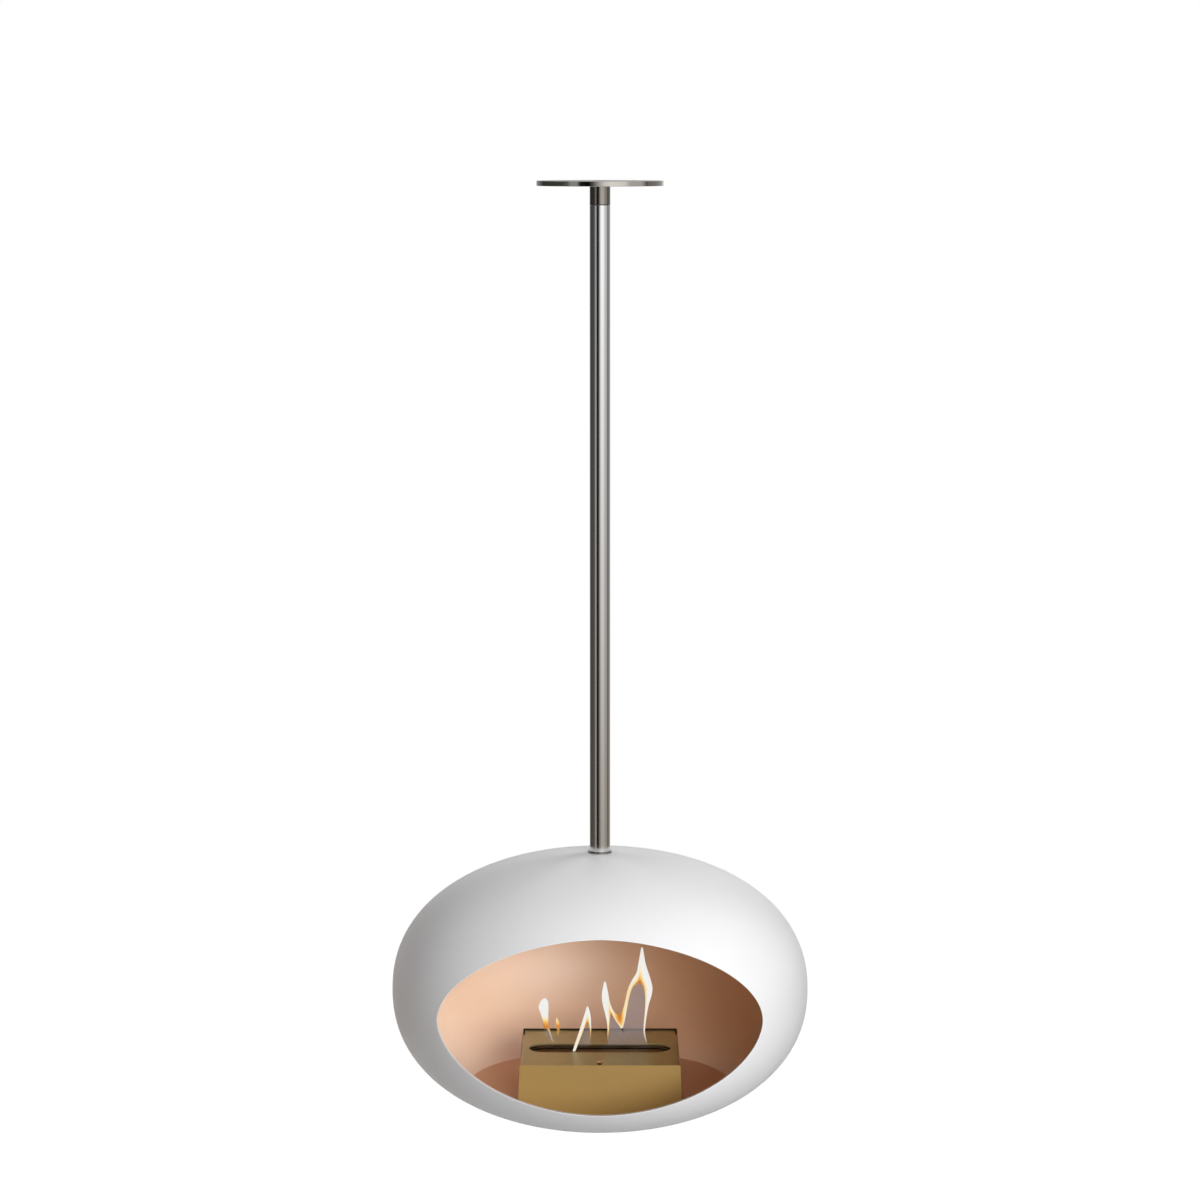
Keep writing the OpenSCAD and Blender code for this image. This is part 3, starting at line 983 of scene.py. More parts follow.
class Cutters(NodeShape):
    """Stands one round cutter on each point of the base mesh."""

    def __init__(self) -> None:
        """Writes the tree."""
        super().__init__("cutters", {"Radius": 0.004, "Length": 0.02, "Tilt": 0.0,
                                     "Columns": 48})
        graph = self.graph
        rod = graph.wire("GeometryNodeMeshCylinder", None, {
            "Vertices": self.given("Columns"), "Radius": self.given("Radius"),
            "Depth": self.given("Length")}, "Mesh")
        rods = graph.wire("GeometryNodeInstanceOnPoints", None, {
            "Points": self.given("Geometry"), "Instance": rod,
            "Rotation": graph.combine(self.given("Tilt"), 0.0, 0.0)})
        self.close(rods)

    def drill(self, piece: bpy.types.Object, spots: Sequence[Sequence[float]], radius: float,
              length: float, finish: Finish, tilt: float = 0.0) -> None:
        """Cuts round holes through a piece.

        Args:
            piece: The piece that is cut.
            spots: The centres of the holes.
            radius: Their radius.
            length: The length of each cutter.
            finish: The piece's finish.
            tilt: The cutters' turn about X, in radians.
        """
        tool = self.build(piece.name + "_cutter", mesh_of("spots", spots), finish,
                          {"Radius": radius, "Length": length, "Tilt": tilt})
        carve(piece, tool)


class Weave(NodeShape):
    """Wires laid over and under each other in two directions."""

    def __init__(self) -> None:
        """Writes the tree."""
        super().__init__("weave", {"Width": 0.2, "Depth": 0.15, "Height": 0.0, "Pitch": 0.002,
                                   "Wire Radius": 0.0003, "Wire Sides": 4, "Swing": 0.0002})
        graph = self.graph
        width, depth, pitch = (self.given(k) for k in ("Width", "Depth", "Pitch"))
        sets = [self._layer(width, depth, pitch, True), self._layer(depth, width, pitch, False)]
        both = graph.node("GeometryNodeJoinGeometry")
        for layer in sets:
            graph.feed(both.inputs[0], layer)
        self.close(Wire(graph, both.outputs[0]))

    def _layer(self, run: Wire, across: Wire, pitch: Wire, along_x: bool) -> Wire:
        """The wires that run one way.

        Args:
            run: Length of each wire.
            across: Width that the wires cover.
            pitch: Distance between wires.
            along_x: Whether they run along X.

        Returns:
            The wires as tubes.
        """
        graph = self.graph
        steps = graph.math("FLOOR", run / pitch)
        count = graph.math("FLOOR", across / pitch)
        half_run, half_across = steps * pitch / 2, count * pitch / 2
        ends = [(-half_run, 0.0, 0.0), (half_run, 0.0, 0.0)]
        first = [(0.0, -half_across, 0.0), (0.0, pitch, 0.0)]
        if not along_x:
            ends = [(y, x, z) for x, y, z in ends]
            first = [(y, x, z) for x, y, z in first]
        line = graph.wire("GeometryNodeCurvePrimitiveLine", None,
                          {"Start": graph.combine(*ends[0]), "End": graph.combine(*ends[1])})
        line = graph.wire("GeometryNodeResampleCurve", None,
                          {"Curve": line, "Count": steps + 1})
        stands = graph.wire("GeometryNodeMeshLine", None, {
            "Count": count + 1, "Start Location": graph.combine(*first[0]),
            "Offset": graph.combine(*first[1])})
        wires = graph.wire("GeometryNodeInstanceOnPoints", None,
                           {"Points": stands, "Instance": line})
        wires = graph.wire("GeometryNodeRealizeInstances", None, {"Geometry": wires})
        x, y, _ = graph.parts(graph.wire("GeometryNodeInputPosition"))
        shift_x, shift_y = (half_run, half_across) if along_x else (half_across, half_run)
        wave = (graph.math("COSINE", (x + shift_x) * math.pi / pitch)
                * graph.math("COSINE", (y + shift_y) * math.pi / pitch))
        swing = self.given("Swing") * (1.0 if along_x else -1.0)
        lift = graph.combine(0.0, 0.0, self.given("Height") + wave * swing)
        wires = graph.wire("GeometryNodeSetPosition", None, {"Geometry": wires, "Offset": lift})
        section = graph.wire("GeometryNodeCurvePrimitiveCircle", None, {
            "Resolution": self.given("Wire Sides"), "Radius": self.given("Wire Radius")})
        return graph.wire("GeometryNodeCurveToMesh", None,
                          {"Curve": wires, "Profile Curve": section, "Fill Caps": True})


class OvalShell(NodeShape):
    """Lays a profile round the oval opening and over the oval shell behind it.

    A base point's X runs from 0 at the opening's edge to 1 at the back of the shell, its Y is
    the distance out from the opening's edge, and its Z the depth below the shell's surface.
    """

    SEAM: ClassVar[float] = 2e-5

    def __init__(self, sizes: "ShellSizes") -> None:
        """Writes the tree.

        Args:
            sizes: The shell's and the opening's sizes.
        """
        super().__init__("oval_shell", {
            "Columns": 288, "Radius": sizes.radius, "Half Height": sizes.half_height,
            "Shell Power": sizes.power, "Centre Height": sizes.centre_z,
            "Opening Half Width": sizes.opening_half_width,
            "Opening Half Height": sizes.opening_half_height,
            "Opening Power": sizes.opening_power, "Opening Drop": sizes.opening_drop,
            "Stud Hole Radius": sizes.stud_hole_radius, "Stud Hole Sides": 64})
        graph, math_node = self.graph, self.graph.math
        grid, angle, along, grow, depth = self.profile_grid()
        edge_x, edge_z = self._edge(angle, grow)
        power = self.given("Shell Power")
        radius, half = self.given("Radius") - depth, self.given("Half Height") - depth
        level = (1.0 - (abs(edge_z) / half) ** power) ** (1.0 / power) * radius
        edge_y = math_node("SQRT", math_node("MAXIMUM", level * level - edge_x * edge_x, 0.0))
        out = math_node("SQRT", edge_x * edge_x + edge_z * edge_z)
        open_at = math_node("ARCTAN2", out, edge_y)
        round_at = math_node("ARCTAN2", edge_z, edge_x)
        tilt = open_at + (math.pi - open_at) * along
        side = math_node("SINE", tilt)
        x = side * math_node("COSINE", round_at)
        y = -math_node("COSINE", tilt)
        z = side * math_node("SINE", round_at)
        flat = math_node("SQRT", x * x + y * y)
        reach = ((flat / radius) ** power + (abs(z) / half) ** power) ** (-1.0 / power)
        spot = graph.combine(x * reach, y * reach, z * reach + self.given("Centre Height"))
        skin = self.placed(grid, spot, self.SEAM)
        stud = graph.wire("GeometryNodeMeshCylinder", None, {
            "Vertices": self.given("Stud Hole Sides"), "Radius": self.given("Stud Hole Radius"),
            "Depth": self.given("Half Height")}, "Mesh")
        stud = graph.wire("GeometryNodeTransform", None, {
            "Geometry": stud,
            "Translation": graph.combine(0.0, 0.0, self.given("Centre Height")
                                         + self.given("Half Height"))})
        cut = graph.node("GeometryNodeMeshBoolean", {"operation": "DIFFERENCE",
                                                     "solver": "EXACT"},
                         {"Mesh 1": skin, "Mesh 2": stud})
        self.close(Wire(graph, cut.outputs[0]))

    def _edge(self, angle: Wire, grow: Wire) -> tuple[Wire, Wire]:
        """The opening's outline, grown outwards.

        Args:
            angle: The angle round the oval.
            grow: The distance out from the clear opening.

        Returns:
            The outline's X and Z about the shell's centre.
        """
        math_node = self.graph.math
        width, height = self.given("Opening Half Width"), self.given("Opening Half Height")
        inverse = 2.0 / self.given("Opening Power")
        places, slopes = [], []
        for kind, half in (("COSINE", width), ("SINE", height)):
            turn = math_node(kind, angle)
            sign, size = math_node("SIGN", turn), abs(turn)
            places.append(sign * size ** inverse * half)
            slopes.append(sign * size ** (2.0 - inverse) / half)
        length = math_node("SQRT", slopes[0] * slopes[0] + slopes[1] * slopes[1])
        x, z = (place + grow * slope / length for place, slope in zip(places, slopes))
        return x, z - self.given("Opening Drop")


# ---- Sub-assemblies ----


@dataclass
class ShellSizes:
    """The shell's oval, its opening and its walls."""

    radius: float = 0.2874
    half_height: float = 0.1895
    power: float = 2.19
    centre_z: float = -1.1114
    opening_half_width: float = 0.2179
    opening_half_height: float = 0.1205
    opening_power: float = 1.85
    opening_drop: float = 0.005
    stud_hole_radius: float = 0.0081


@dataclass
class CeilingMount:
    """The plate on the ceiling and the hub of the swivel under it."""

    plate_radius: float = 0.086
    plate_thick: float = 0.007
    centre_hole: float = 0.0105
    bolt_circle: float = 0.065
    bolt_count: int = 4
    bolt_hole: float = 0.0045
    drill_length: float = 0.028
    plate_columns: int = 256
    edge_round: float = 0.0006
    hub_round: float = 0.0003
    bush_seat: float = 0.00805
    washer_z: float = -0.0121
    hub_bottom: float = -0.032

    def build(self, lathe: Lathe, cutters: Cutters) -> None:
        """Makes the plate and the hub.

        Args:
            lathe: The tree that turns outlines.
            cutters: The tree that drills holes.
        """
        low, round_ = -self.plate_thick, self.edge_round
        outline = rounded([(self.centre_hole, low), (self.plate_radius, low),
                           (self.plate_radius, 0.0), (self.centre_hole, 0.0)],
                          [0.0, round_, round_, 0.0])
        plate = lathe.turn("ceiling_plate_polished", outline, POLISHED_STEEL, self.plate_columns)
        step = 2 * math.pi / self.bolt_count
        spots = [(self.bolt_circle * math.cos((i + 0.5) * step),
                  self.bolt_circle * math.sin((i + 0.5) * step), low / 2)
                 for i in range(self.bolt_count)]
        cutters.drill(plate, spots, self.bolt_hole, self.drill_length, POLISHED_STEEL)
        dress(plate, POLISHED_STEEL, Body.MOUNT, "ceiling_plate")
        outer, seat = Pole.radius, self.washer_z
        outline = rounded([(self.bush_seat, self.hub_bottom), (outer, self.hub_bottom),
                           (outer, low), (self.centre_hole, low), (self.centre_hole, seat),
                           (self.bush_seat, seat)],
                          [0.0, self.hub_round, 0.0, 0.0, 0.0, 0.0])
        hub = lathe.turn("ceiling_hub_turned", outline, DARK_STEEL)
        dress(hub, DARK_STEEL, Body.MOUNT, "ceiling_hub")


@dataclass
class Pole:
    """The tube that hangs from the hub and the collar at its foot."""

    radius: float = 0.014
    bore: float = 0.012
    top: float = -0.0329
    foot: float = -0.9199
    edge_round: float = 0.0003
    columns: int = 192
    grub_radius: float = 0.0026
    grub_inset: float = 0.035
    grub_length: float = 0.008
    collar_overhang: float = 0.0027
    collar_height: float = 0.002
    collar_round: float = 0.0008
    collar_bore: float = 0.0081
    collar_sink: float = 0.0004

    def build(self, lathe: Lathe, cutters: Cutters) -> None:
        """Makes the tube with its grub screw holes, and the collar.

        Args:
            lathe: The tree that turns outlines.
            cutters: The tree that drills holes.
        """
        outline = rounded([(self.bore, self.foot), (self.radius, self.foot),
                           (self.radius, self.top), (self.bore, self.top)],
                          [0.0, self.edge_round, self.edge_round, 0.0])
        tube = lathe.turn("pole_tube_brushed", outline, BRUSHED_POLE, self.columns)
        spots = [(0.0, self.radius, self.top - self.grub_inset),
                 (0.0, self.radius, self.foot + self.grub_inset)]
        cutters.drill(tube, spots, self.grub_radius, self.grub_length, BRUSHED_POLE, math.pi / 2)
        dress(tube, BRUSHED_POLE, Body.FIREPLACE, "pole_tube")
        wide, top = self.radius + self.collar_overhang, self.foot
        low = top - self.collar_height
        outline = rounded([(self.collar_bore, low), (wide, low - self.collar_sink), (wide, top),
                           (self.collar_bore, top)], [0.0, 0.0, self.collar_round, 0.0])
        collar = lathe.turn("collar_ring_turned", outline, DARK_STEEL)
        dress(collar, DARK_STEEL, Body.FIREPLACE, "collar_ring")


@dataclass
class Shell:
    """The white skin with its rolled lip and the copper lining behind it."""

    skin_wall: float = 0.002
    lining_depth: float = 0.004
    lip_depth: float = 0.005
    lip_wall: float = 0.0015
    lip_round: float = 0.0009
    inner_round: float = 0.0004
    lining_gap: float = 0.0001
    inner_steps: int = 6
    lip_steps: int = 8
    rows: int = 72
    crowding: float = 1.25
    hold_place: float = 0.0008

    def _spread(self, grow: float, depth: float, backwards: bool) -> list[tuple[float, ...]]:
        """Base points from the opening's edge to the back of the shell, closer near the edge.

        Args:
            grow: Distance out from the clear opening.
            depth: Depth below the surface.
            backwards: Whether they start at the back.

        Returns:
            The base points.
        """
        places = [(i / self.rows) ** self.crowding for i in range(self.rows + 1)]
        places.insert(1, self.hold_place)
        points = [(place, grow, depth) for place in places]
        return points[::-1] if backwards else points

    def build(self, tree: OvalShell) -> None:
        """Makes the skin with its lip, and the lining.

        Args:
            tree: The tree that lays profiles over the shell.
        """
        lip_back = [(0.0, self.lip_wall, self.skin_wall), (0.0, self.lip_wall, self.lip_depth)]
        corner = [(0.0, self.lip_wall - self.inner_round, self.lip_depth)]
        points = (self._spread(self.lip_wall, self.skin_wall, True)[:-1] + lip_back + corner
                  + self._lip() + self._spread(self.lip_round, 0.0, False)[1:])
        skin = tree.build("shell_skin", self._line("shell_skin", points), WHITE_COAT)
        dress(skin, WHITE_COAT, Body.FIREPLACE, "outer_shell", "opening_rim")
        edge = self.lip_wall + self.lining_gap
        points = (self._spread(edge, self.lip_depth, True)
                  + self._spread(edge, self.lining_depth, False))
        lining = tree.build("shell_lining", self._line("shell_lining", points), COPPER_LINING)
        dress(lining, COPPER_LINING, Body.FIREPLACE, "inner_liner")

    def _lip(self) -> list[tuple[float, ...]]:
        """The lip's rounded edge, from inside to outside.

        Returns:
            The base points.
        """
        inner, outer, made = self.inner_round, self.lip_round, []
        for turn in (math.pi / 2 * k / self.inner_steps for k in range(self.inner_steps + 1)):
            made.append((0.0, inner * (1 - math.sin(turn)),
                         self.lip_depth - inner * (1 - math.cos(turn))))
        for turn in (math.pi / 2 * k / self.lip_steps for k in range(self.lip_steps + 1)):
            made.append((0.0, outer * (1 - math.cos(turn)), outer * (1 - math.sin(turn))))
        return made

    @staticmethod
    def _line(name: str, points: Sequence[Sequence[float]]) -> bpy.types.Mesh:
        """A polyline as a mesh."""
        return mesh_of(name, points, edges=[(i, i + 1) for i in range(len(points) - 1)])


@dataclass
class Hearth:
    """The round plate in the bowl of the shell."""

    radius: float = 0.182
    thick: float = 0.002
    top: float = -1.2454
    bend: float = 0.004
    window_half: tuple[float, float] = (0.11314, 0.11414)
    skirt_outer: float = -1.2594
    skirt_inner: float = -1.2602
    bend_steps: int = 10
    columns: int = 224

    def build(self, lathe: Lathe) -> None:
        """Makes the plate with its skirt, open at the casing and in front of it.

        Args:
            lathe: The tree that turns outlines.
        """
        inner, low = self.radius - self.thick, self.top - self.thick
        outline = rounded([(0.0, low), (inner, low), (inner, self.skirt_inner),
                           (self.radius, self.skirt_outer), (self.radius, self.top),
                           (0.0, self.top)],
                          [0.0, self.bend - self.thick, 0.0, 0.0, self.bend, 0.0],
                          self.bend_steps)
        plate = lathe.turn("hearth_plate_spun", outline, COPPER_HEARTH, self.columns)
        x, y = self.window_half
        front = -self.radius - self.thick
        corners = [(i, j, height) for height in (low - x, low + x)
                   for i, j in ((-x, front), (x, front), (x, y), (-x, y))]
        sides = [(0, 3, 2, 1), (4, 5, 6, 7), (0, 1, 5, 4), (1, 2, 6, 5), (2, 3, 7, 6), (3, 0, 4, 7)]
        carve(plate, new_object("hearth_window", mesh_of("hearth_window", corners, sides)))
        dress(plate, COPPER_HEARTH, Body.FIREPLACE, "hearth_plate")


@dataclass
class Burner:
    """The casing, the top plate with its slot, the knob, and the mesh under the slot."""

    casing_bevel: float = 0.0004
    plate_bevel: float = 0.00025
    bevel_segments: int = 3
    bevel_from_deg: float = 40.0
    flat_deg: float = 0.5
    sharp_deg: float = 12.0
    painted_shade_limit: float = -0.05
    weave_pitch: float = 0.002
    wire_radius: float = 0.00028
    wire_swing: float = 0.0002
    knob_radius: float = 0.0045
    knob_height: float = 0.0045
    knob_neck: float = 0.003
    knob_shank: float = 0.002
    knob_chamfer: float = 0.0002
    knob_waist_round: float = 0.0003
    knob_crown_round: float = 0.0006
    knob_columns: int = 64
    knob_y: float = -0.09925
    plate_top: float = -1.1981
    shank_low: float = -1.2043

    def build(self, lathe: Lathe, weave: Weave) -> None:
        """Makes the burner's visible pieces.

        Args:
            lathe: The tree that turns outlines.
            weave: The tree that weaves wires.
        """
        casing = self._bevelled("burner_casing", "burner_casing_folded", BRASS_CASING,
                                Body.FIREPLACE, self.casing_bevel)
        # Faces that look inwards take the near-black finish: painted shade in the gap under the
        # casing's rim.
        casing.data.materials.append(CASING_PAINTED_SHADE.material())
        for face in casing.data.polygons:
            inwards = face.normal.x * face.center.x + face.normal.y * face.center.y
            if inwards < self.painted_shade_limit:
                face.material_index = 1
        self._bevelled("top_plate", "top_plate_cut", BRASS_PLATE, Body.INSERT, self.plate_bevel)
        self._bevelled("tank_lid", "tank_lid_cut", BURNER_STEEL, Body.INSERT, self.plate_bevel)
        self._bevelled("shutter_plate", "shutter_folded", SHUTTER_STEEL, Body.SHUTTER,
                       self.plate_bevel)
        self._knob(lathe)
        self._mesh(weave)

    def _bevelled(self, node: str, name: str, finish: Finish, body: Body,
                  width: float) -> bpy.types.Object:
        """Replaces a CAD node by a copy with fine bevels on its sharp edges.

        Args:
            node: The CAD node.
            name: The copy's name.
            finish: Its finish.
            body: The body that it rides on.
            width: Width of the bevels.

        Returns:
            The copy.
        """
        work = bmesh.new()
        work.from_mesh(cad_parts[node].data)
        bmesh.ops.remove_doubles(work, verts=work.verts, dist=MERGE)
        bmesh.ops.dissolve_limit(work, angle_limit=math.radians(self.flat_deg),
                                 verts=work.verts, edges=work.edges)
        mesh = bpy.data.meshes.new(name)
        work.to_mesh(mesh)
        work.free()
        piece = new_object(name, mesh)
        bevel = piece.modifiers.new("bevel", "BEVEL")
        bevel.width = width
        bevel.segments = self.bevel_segments
        bevel.limit_method = "ANGLE"
        bevel.angle_limit = math.radians(self.bevel_from_deg)
        mesh = baked(piece)
        for polygon in mesh.polygons:
            polygon.use_smooth = True
        mesh.set_sharp_from_angle(angle=math.radians(self.sharp_deg))
        return dress(piece, finish, body, node)

    def _knob(self, lathe: Lathe) -> None:
        """Makes the turned knob and moves it to its place.

        Args:
            lathe: The tree that turns outlines.
        """
        top = self.plate_top + self.knob_height
        waist = self.plate_top + self.knob_height / 2
        outline = rounded([(0.0, self.shank_low), (self.knob_shank, self.shank_low),
                           (self.knob_shank, self.plate_top), (self.knob_neck, self.plate_top),
                           (self.knob_neck, waist), (self.knob_radius, waist),
                           (self.knob_radius, top), (0.0, top)],
                          [0.0, self.knob_chamfer, 0.0, 0.0, self.knob_chamfer,
                           self.knob_waist_round, self.knob_crown_round, 0.0])
        knob = lathe.turn("lift_knob_turned", outline, BRASS_KNOB, self.knob_columns)
        for vertex in knob.data.vertices:
            vertex.co.y += self.knob_y
        dress(knob, BRASS_KNOB, Body.INSERT, "lift_knob")

    def _mesh(self, weave: Weave) -> None:
        """Weaves the wire mesh inside the space of its CAD sheet.

        Args:
            weave: The tree that weaves wires.
        """
        low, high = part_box("flame_mesh")
        gauze = weave.build("flame_mesh_woven", mesh_of("gauze", [(0.0, 0.0, 0.0)]), MESH_WIRE, {
            "Width": high.x - low.x - 2 * self.wire_radius,
            "Depth": high.y - low.y - 2 * self.wire_radius,
            "Height": (high.z + low.z) / 2, "Pitch": self.weave_pitch,
            "Wire Radius": self.wire_radius, "Swing": self.wire_swing})
        dress(gauze, MESH_WIRE, Body.INSERT, "flame_mesh")


@dataclass(frozen=True)
class Tongue:
    """One flame or veil: its rows, and how it leans from front to back.

    The sharpness says how closely the inner edge's heat keeps to that edge.
    """

    name: str
    stations: Stations
    foot_y: float
    tip_y: float
    sharpness: float = 1.0


@dataclass
class Flames:
    """The flames over the slot. They are looks only.

    Each row of a flame is the outer edge's X and Z and the inner edge's X and Z, in
    millimetres, then how hot each edge is and how solid the flame is there.
    """

    base_z: float = -1.2045
    keep: float = 0.012
    steps: int = 6
    sides: int = 14
    fullness: float = 0.45
    thickest: float = 0.0035
    veil_thickest: float = 0.0008
    crease_deg: float = 80.0

    TALL_PAIR: ClassVar[Stations] = (
        (9.2, -1189.1, 10.0, -1189.1, 0.5, 0.4, 0.05),
        (10.1, -1180.5, 12.0, -1180.5, 0.4, 0.2, 0.35),
        (10.4, -1171.9, 13.1, -1171.9, 0.6, 0.1, 0.85),
        (9.2, -1159.8, 13.7, -1159.8, 0.9, 0.1, 1.0),
        (6.4, -1147.7, 14.3, -1152.5, 1.0, 0.15, 1.0),
        (3.6, -1136.3, 14.6, -1150.2, 1.0, 0.2, 1.0),
        (2.5, -1125.6, 14.7, -1149.5, 1.0, 0.2, 1.0),
        (3.6, -1114.9, 14.9, -1149.2, 1.0, 0.2, 1.0),
        (6.8, -1103.8, 15.0, -1149.1, 0.9, 0.2, 1.0),
        (10.5, -1115.9, 15.1, -1149.2, 0.9, 0.2, 1.0),
        (12.8, -1130.2, 15.6, -1149.5, 0.9, 0.2, 1.0),
        (16.1, -1141.4, 17.1, -1151.4, 0.8, 0.3, 1.0),
        (20.8, -1148.7, 20.4, -1157.7, 0.45, 0.7, 1.0),
        (26.2, -1152.2, 25.6, -1165.4, 0.1, 0.8, 1.0),
        (29.7, -1149.1, 30.4, -1171.4, 0.2, 0.85, 0.95),
        (32.8, -1141.3, 33.9, -1161.9, 0.55, 0.75, 1.0),
        (35.5, -1129.2, 36.8, -1146.0, 0.6, 0.7, 1.0),
        (39.0, -1114.2, 40.1, -1128.3, 0.6, 0.45, 1.0),
        (44.9, -1101.3, 44.8, -1113.5, 0.75, 0.2, 1.0),
        (50.7, -1091.4, 49.4, -1108.4, 0.9, 0.05, 1.0),
        (53.8, -1075.3, 52.1, -1106.7, 1.0, 0.0, 1.0),
        (58.3, -1055.0, 54.6, -1106.0, 0.9, 0.0, 1.0),
        (63.2, -1078.8, 57.1, -1106.9, 1.0, 0.0, 1.0),
        (69.9, -1100.7, 60.5, -1112.1, 1.0, 0.15, 1.0),
        (72.7, -1113.2, 62.4, -1120.6, 1.0, 0.35, 1.0),
        (71.3, -1124.9, 62.9, -1132.0, 1.0, 0.45, 1.0),
        (67.6, -1137.1, 62.5, -1143.4, 0.9, 0.5, 1.0),
        (65.0, -1151.4, 61.8, -1153.4, 0.8, 0.55, 1.0),
        (63.2, -1165.5, 60.8, -1165.5, 0.75, 0.7, 0.9),
        (62.5, -1176.2, 60.4, -1176.2, 0.75, 0.7, 0.6),
        (64.5, -1186.9, 62.8, -1186.9, 0.75, 0.7, 0.3),
        (67.0, -1193.9, 66.2, -1194.2, 0.7, 0.7, 0.05),
    )
    SHORT: ClassVar[Stations] = (
        (-37.8, -1197.5, -34.0, -1196.9, 0.8, 0.8, 0.95),
        (-35.0, -1188.3, -30.7, -1188.8, 0.7, 0.75, 1.0),
        (-29.1, -1171.8, -24.0, -1172.4, 0.8, 0.5, 1.0),
        (-24.8, -1158.5, -19.7, -1162.6, 1.0, 0.15, 1.0),
        (-20.5, -1145.3, -18.1, -1159.7, 1.0, 0.1, 1.0),
        (-17.3, -1137.3, -17.5, -1159.3, 0.95, 0.1, 1.0),
        (-14.1, -1145.3, -16.5, -1160.1, 1.0, 0.1, 1.0),
        (-12.6, -1154.0, -15.2, -1163.3, 1.0, 0.1, 1.0),
        (-12.2, -1165.2, -14.0, -1169.4, 0.8, 0.15, 0.9),
        (-12.6, -1175.1, -13.6, -1175.1, 0.4, 0.2, 0.5),
        (-12.7, -1182.5, -13.1, -1182.5, 0.4, 0.3, 0.05),
    )
    LEFT: ClassVar[Stations] = (
        (-66.0, -1194.5, -64.9, -1194.5, 0.7, 0.7, 0.05),
        (-69.0, -1183.5, -67.6, -1183.5, 0.7, 0.7, 0.35),
        (-72.9, -1174.6, -69.7, -1174.6, 0.15, 0.5, 0.6),
        (-78.1, -1170.1, -71.0, -1170.1, 0.08, 0.15, 0.95),
        (-79.4, -1162.7, -71.6, -1162.7, 0.3, 0.35, 1.0),
        (-81.4, -1153.8, -72.0, -1153.8, 0.8, 0.85, 1.0),
        (-83.9, -1146.4, -71.6, -1145.7, 1.0, 1.0, 1.0),
        (-85.1, -1140.7, -71.5, -1137.3, 1.0, 1.0, 1.0),
        (-82.8, -1133.4, -72.3, -1132.3, 1.0, 1.0, 1.0),
        (-79.6, -1129.0, -74.2, -1128.7, 1.0, 1.0, 1.0),
        (-77.1, -1127.4, -76.7, -1127.4, 0.95, 0.95, 1.0),
    )
    SPARK: ClassVar[Stations] = (
        (-59.1, -1186.1, -58.3, -1186.1, 0.6, 0.6, 0.05),
        (-59.8, -1175.9, -56.5, -1175.9, 0.3, 0.3, 0.3),
        (-60.9, -1168.7, -55.6, -1168.7, 0.15, 0.15, 0.85),
        (-61.3, -1161.4, -57.3, -1162.1, 0.55, 0.45, 0.9),
        (-60.7, -1156.4, -59.1, -1157.3, 0.45, 0.4, 0.7),
        (-60.2, -1154.4, -59.9, -1154.4, 0.4, 0.4, 0.5),
    )
    VEILS: ClassVar[tuple[Stations, ...]] = (
        ((-78.2, -1171.7, -71.2, -1171.7, 0.05), (-75.8, -1180.6, -67.8, -1180.6, 0.3),
         (-71.0, -1190.9, -62.6, -1190.9, 0.15)),
        ((-17.5, -1160.9, -17.2, -1160.9, 0.1), (-21.9, -1172.1, -14.1, -1172.1, 0.3),
         (-26.3, -1184.4, -13.4, -1184.4, 0.28), (-29.1, -1192.6, -13.4, -1192.6, 0.1)),
        ((14.9, -1149.4, 15.1, -1149.4, 0.1), (13.3, -1161.9, 22.9, -1161.9, 0.4),
         (11.7, -1176.2, 31.3, -1176.2, 0.4), (10.6, -1194.8, 32.0, -1194.8, 0.2)),
        ((54.4, -1106.4, 54.9, -1106.4, 0.1), (45.2, -1113.5, 60.5, -1113.5, 0.4),
         (40.5, -1128.3, 62.4, -1128.3, 0.42), (36.9, -1146.0, 61.9, -1146.0, 0.42),
         (33.3, -1166.2, 60.6, -1166.2, 0.4), (31.4, -1181.9, 61.1, -1181.9, 0.32),
         (32.0, -1194.8, 64.6, -1194.8, 0.15)),
    )

    def build(self) -> None:
        """Makes every flame and every veil."""
        tongues = (
            Tongue("flame_tall_pair", self.TALL_PAIR, foot_y=0.004, tip_y=0.0, sharpness=3.0),
            Tongue("flame_short", self.SHORT, foot_y=-0.022, tip_y=-0.006, sharpness=2.0),
            Tongue("flame_left", self.LEFT, foot_y=0.012, tip_y=0.0),
            Tongue("flame_spark", self.SPARK, foot_y=0.010, tip_y=0.006),
        )
        for tongue in tongues:
            self._loft(tongue, FLAME, self.thickest)
        leans = ((0.012, 0.006), (-0.010, -0.006), (0.0045, 0.0005), (0.0045, 0.0005))
        for i, (stations, (foot_y, tip_y)) in enumerate(zip(self.VEILS, leans)):
            full = tuple((a, b, c, d, 1.0, 1.0, clear) for a, b, c, d, clear in stations)
            veil = Tongue(f"flame_veil_{i + 1}", full, foot_y, tip_y)
            self._loft(veil, VEIL, self.veil_thickest)

